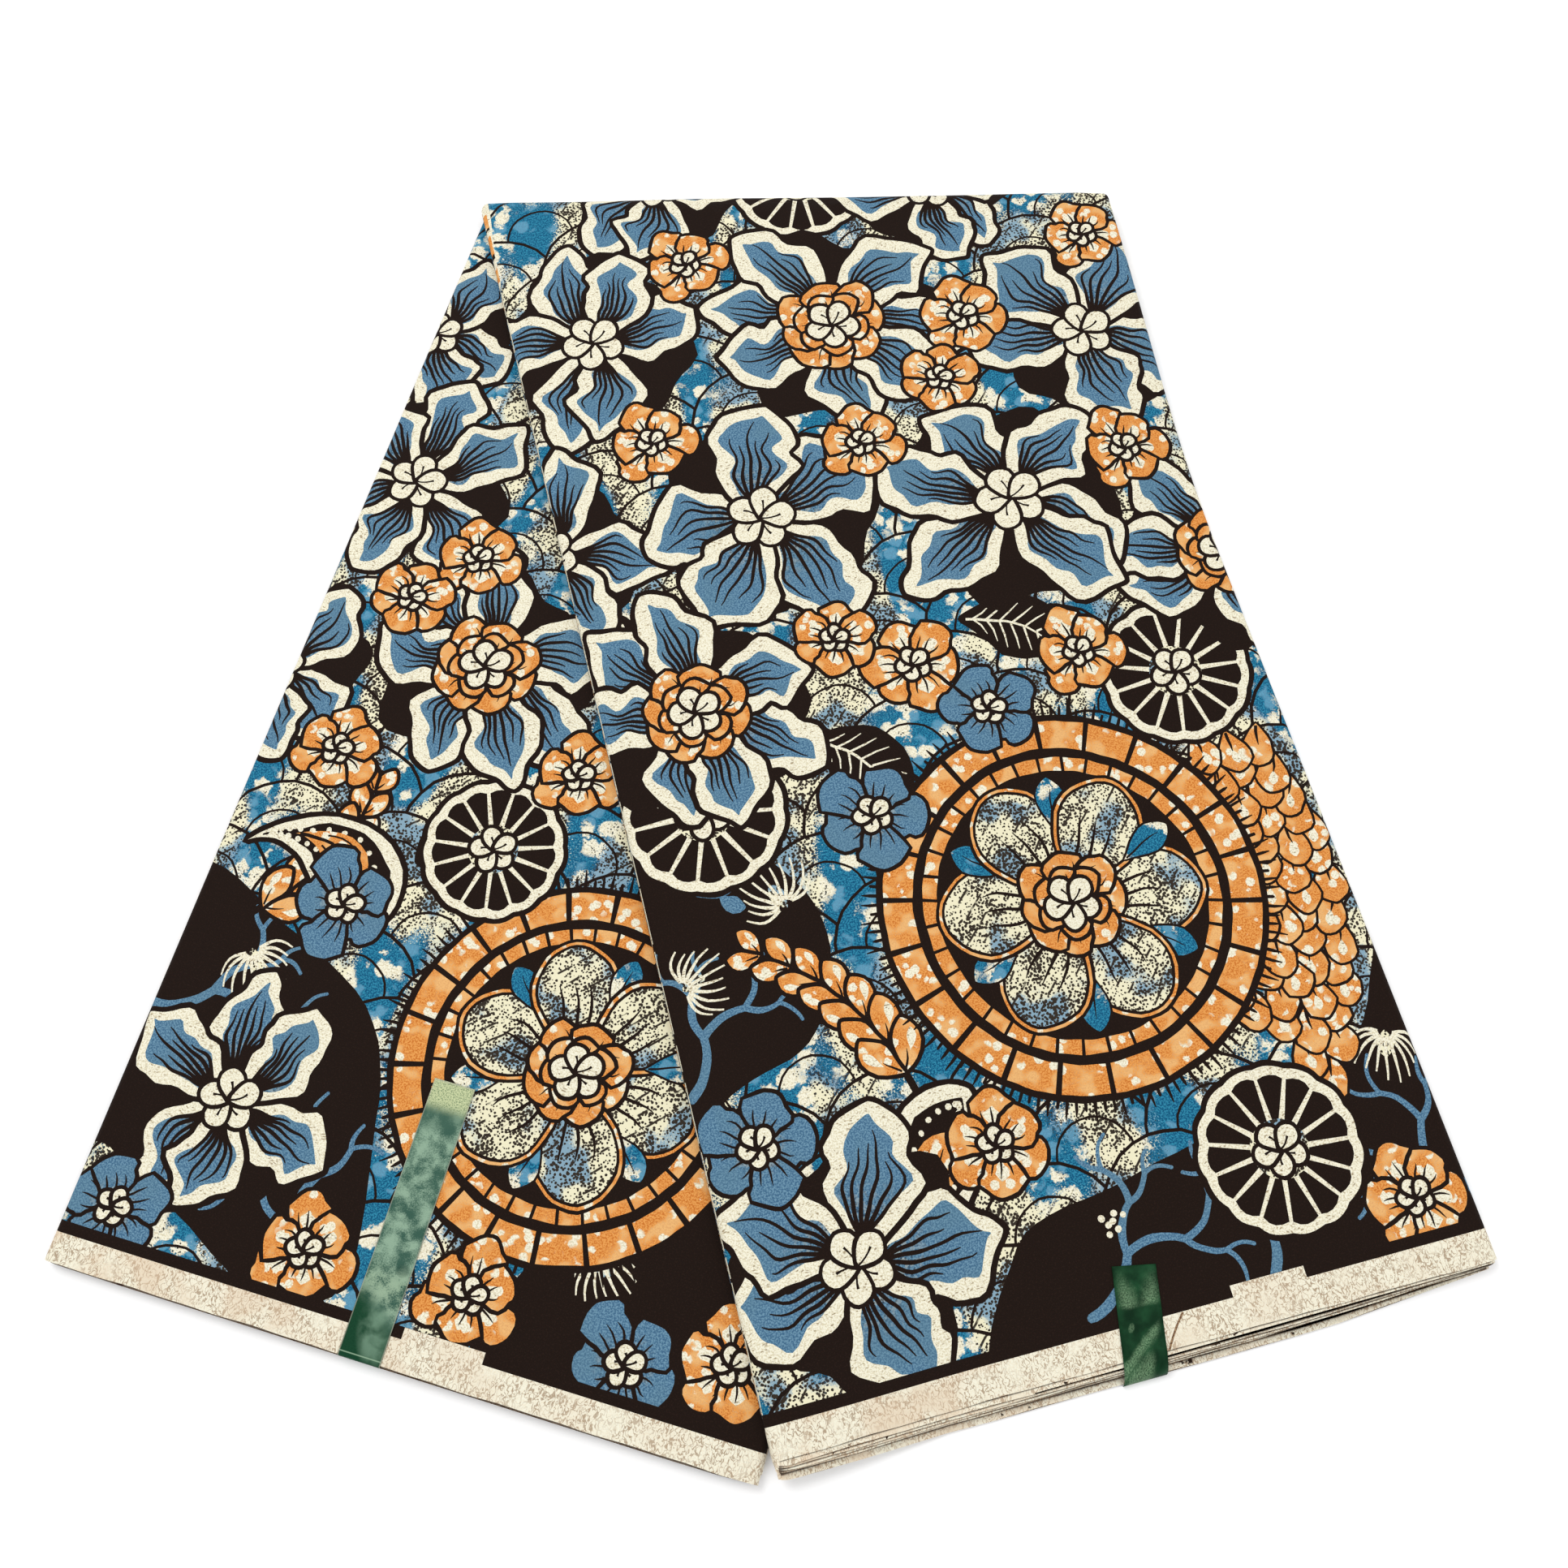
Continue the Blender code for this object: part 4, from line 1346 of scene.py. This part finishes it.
def front_tape_paint(x, y, drift, grain):
    """Dark green with painted sheen: a V near its top and a slanting highlight near its foot."""
    dark, green, sheen = shades("front tape")
    aside = abs(x - 0.4)
    # Painted sheen and highlights on the satin, all in the sheen colour: the V near the top, the slanting
    # band, a patch at the foot and a glint
    upper = (aside + y * 0.44 + 8.6).broken(-2.6, 3.6, drift, 7.0) * y.step(-36.0, -24.0)
    upper = upper * y.broken(-18.6, -21.0, drift, 3.0) * aside.step(10.0, 5.0)
    band = x * 0.88 + y + 6.0
    slant = band.broken(-2.2, 1.2, drift, 6.0) * band.step(6.4, 1.0) * x.step(8.6, 5.0)
    foot = (x * 0.5 + y + 1.0).broken(-1.0, 3.4, drift, 5.0)
    foot = foot * x.broken(4.6, 0.8, drift, 4.0) * x.step(-9.0, -6.0)
    painted_glint = patch(x, y, (-4.2, -11.8), (1.5, 2.2), 0.4) * 0.6
    bright = upper.most(slant).most(foot.most(painted_glint)) * grain.over(0.38, 0.62, 0.08, 1.0) * 0.80
    return bright.blend(drift.step(0.30, 0.75).blend(dark, green), sheen)


def rear_tape_paint(x, y, drift, grain):
    """Mottled grey green, yellow green at its top end and dark green at its foot, with painted highlights."""
    dark, light, low, ripe, ripe_light, shadow, pale, foot, foot_light, highlight, fold, rim = shades("rear tape")
    base = drift.broken(0.36, 0.66, grain, 0.5).blend(dark, light)
    pale_share = y.step(-40.0, -30.0) * y.step(-18.0, -26.0) * drift.broken(0.35, 0.6, grain, 0.8) * 0.6
    # Painted highlight: a soft pale patch on the dark foot
    highlight_share = patch(x, y, (2.4, -11.0), (15.0, 8.0), 1.25) * drift.step(0.25, 0.62) * 0.75
    edges = abs(x).step(8.6, 9.0).most(y.step(-113.6, -114.4)) * 0.5
    for share, above in (
            ((x * 0.25 + y + 92.0).broken(1.0, -6.0, grain, 8.0) * 0.55, low),
            (y.broken(-100.0, -106.0, grain, 10.0) * 0.92, grain.step(0.38, 0.56).blend(ripe, ripe_light)),
            (patch(x, y, (5.2, -37.0), (3.6, 3.2)) * 0.7, shadow),
            (pale_share, pale),
            ((x * -0.7 + y).broken(-25.0, -15.0, grain, 14.0), grain.blend(foot, foot_light)),
            (highlight_share, highlight),
            # Painted highlight along the bend where the tape turns down over the hem
            (abs(y + 1.6).step(0.35, 0.1) * 0.7, fold),
            (edges, rim)):
        base = share.blend(base, above)
    return base


def tape_material(name, paint):
    """Green satin tape."""
    material, tree, shader = new_material(name)
    coords = stored(tree, "cloth")
    grain, drift = coords.noise(0.6, 3.0, 0.0, 0.7), coords.noise(8.0, 3.0, 0.25)
    x, y, _ = coords.parts()
    dress(shader, paint(x, y, drift, grain), grain.over(0.3, 0.7, 0.34, 0.55), 0.06, grain, 0.25, 0.1 * MM)
    return material


TAPE_CLEAR = 0.00015       # the air under a tape
TAPE_THICKNESS = 0.00025
TAPE_CELLS = {"across": 10, "along": 39, "round": 9}
TAPE_ARC = 0.006           # length of the turned end for each radian, as its paint has it


def tape(name, leg, share, length, swing, reach, paint):
    """A tape stuck on a leg's outer cloth and turned down over its hem.

    Its middle crosses the hem at a share of the hem from the left. It is so long on top, swings from
    -Y and stands off the hem by its reach.
    """
    left, right = section_ends(2 if leg is FRONT else -1)
    middle = left + (right - left) * share
    off_hem = -1j * (right - left) / abs(right - left)
    way = -1j * np.exp(1j * swing)
    side = way * 1j
    lean, ahead = (side * np.conj(off_hem)).real, (way * np.conj(off_hem)).real
    columns = np.linspace(-0.5, 0.5, TAPE_CELLS["across"] + 1) * TAPE_WIDTH
    steps = [(u, 0.0) for u in np.linspace(0, 1, TAPE_CELLS["along"] + 1)]
    steps += [(1.0, turn) for turn in np.linspace(0, pi / 2, TAPE_CELLS["round"] + 1)[1:]]
    points, coords = [], []
    for u, turn in steps:
        for column in columns:
            past = (column * lean - length * ahead) * (1 - u) + (reach - 2 * TAPE_CLEAR) * sin(turn)
            place = middle + side * column + way * (past - column * lean) / ahead
            lifted = float(relief(leg, leg.flat(np.array([place])))[0])
            height = (STACK + TAPE_CLEAR + lifted) * cos(turn) + TAPE_CLEAR
            rest = float(support(place)) if leg is FRONT else 0.0
            points.append((place.real, place.imag, rest + height))
            coords.append((column / MM, (-length * (1 - u) + turn * TAPE_ARC) / MM, 0.0))
    count = len(columns)
    corners = [i * count + j for i in range(len(steps) - 1) for j in range(count - 1)]
    mesh = bpy.data.meshes.new(name)
    mesh.from_pydata(points, [], [(a, a + count, a + count + 1, a + 1) for a in corners])
    add_attribute(mesh, "cloth", "FLOAT_VECTOR", "POINT", coords)
    made = add_object(name, mesh, [tape_material(name, paint)])
    mesh.shade_smooth()
    wall = made.modifiers.new("Thickness", "SOLIDIFY")
    wall.thickness = TAPE_THICKNESS
    wall.offset = 1
    return made


# The stage

LAMPS = (("key", (-0.9, 0.9, 1.9), 1.1, 20), ("fill", (1.2, -0.6, 2.0), 1.6, 11))
SKY = 0.76
LENS = 31.68
CAMERA_PLACE = (0.00911, -0.20934, 0.61197)
CAMERA_TURNS = ((-0.092, "Z"), (17.676, "X"), (-0.871, "Z"))    # degrees


def add_stage():
    """A plain pale floor, soft light, and the camera at the photo's angle."""
    bpy.ops.mesh.primitive_plane_add(size=6, location=(0, 0, -0.2 * MM))
    floor = bpy.context.object
    floor.name = "floor"
    pale, tree, shader = new_material("floor")
    place = Field(tree).node("TexCoord", {}, 3)
    clouds = place.noise(1 / 3).blend((0.97, 0.97, 0.97, 1), (1, 1, 1, 1))
    tree.links.new(clouds.socket, shader.inputs["Base Color"])
    shader.inputs["Roughness"].default_value = 0.9
    shader.inputs["Specular IOR Level"].default_value = 0.1
    floor.data.materials.append(pale)
    scene = bpy.context.scene
    scene.world = bpy.data.worlds.new("studio")
    scene.world.use_nodes = True
    sky = scene.world.node_tree.nodes["Background"]
    sky.inputs["Color"].default_value = (1, 1, 1, 1)
    sky.inputs["Strength"].default_value = SKY
    for name, spot, size, power in LAMPS:
        lamp = bpy.data.lights.new(name, "AREA")
        lamp.energy = power
        lamp.size = size
        holder = bpy.data.objects.new(name, lamp)
        holder.location = spot
        holder.rotation_euler = (-Vector(spot)).to_track_quat("-Z", "Y").to_euler()
        scene.collection.objects.link(holder)
    camera = bpy.data.objects.new("camera", bpy.data.cameras.new("camera"))
    camera.data.sensor_width = 36
    camera.data.lens = LENS
    camera.data.clip_start = 0.01
    camera.location = CAMERA_PLACE
    first, second, third = (Matrix.Rotation(radians(angle), 4, axis) for angle, axis in CAMERA_TURNS)
    camera.rotation_euler = (first @ second @ third).to_euler()
    scene.collection.objects.link(camera)
    scene.camera = camera
    scene.view_settings.view_transform = "Standard"


add_stage()
front = printed(FRONT, FRONT_BLACKS, FRONT_MOTIFS)
add_left_edge(front)
add_border(front, FRONT_TAB)
front.lay("edge", stroke(line(*HEM_MARK), np.full(HEM_MARK[-1], 0.45)))
rear = printed(REAR, REAR_BLACKS, REAR_MOTIFS)
add_border(rear, REAR_TAB)
made = {
    "front_cloth": shell("front_cloth", front),
    "rear_cloth": shell("rear_cloth", rear),
    "folded_layers": folded_layers(),
    "front_tape_strip": tape("front_tape_strip", FRONT, 0.5025, 0.0354, radians(2.5), 0.0094,
                             front_tape_paint),
    "rear_tape_strip": tape("rear_tape_strip", REAR, 0.4550, 0.1146, REAR.swing, 0.0014, rear_tape_paint),
}
for name, replaced, slot in (
        ("front_cloth", "front_outer_layer", "printed_cloth"),
        ("rear_cloth", "rear_outer_layer", "printed_cloth"),
        ("folded_layers", "inner_layers", "inner_cloth"),
        ("front_tape_strip", "front_tape", "tape"),
        ("rear_tape_strip", "rear_tape", "tape")):
    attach(made[name], "root")
    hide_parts(replaced)
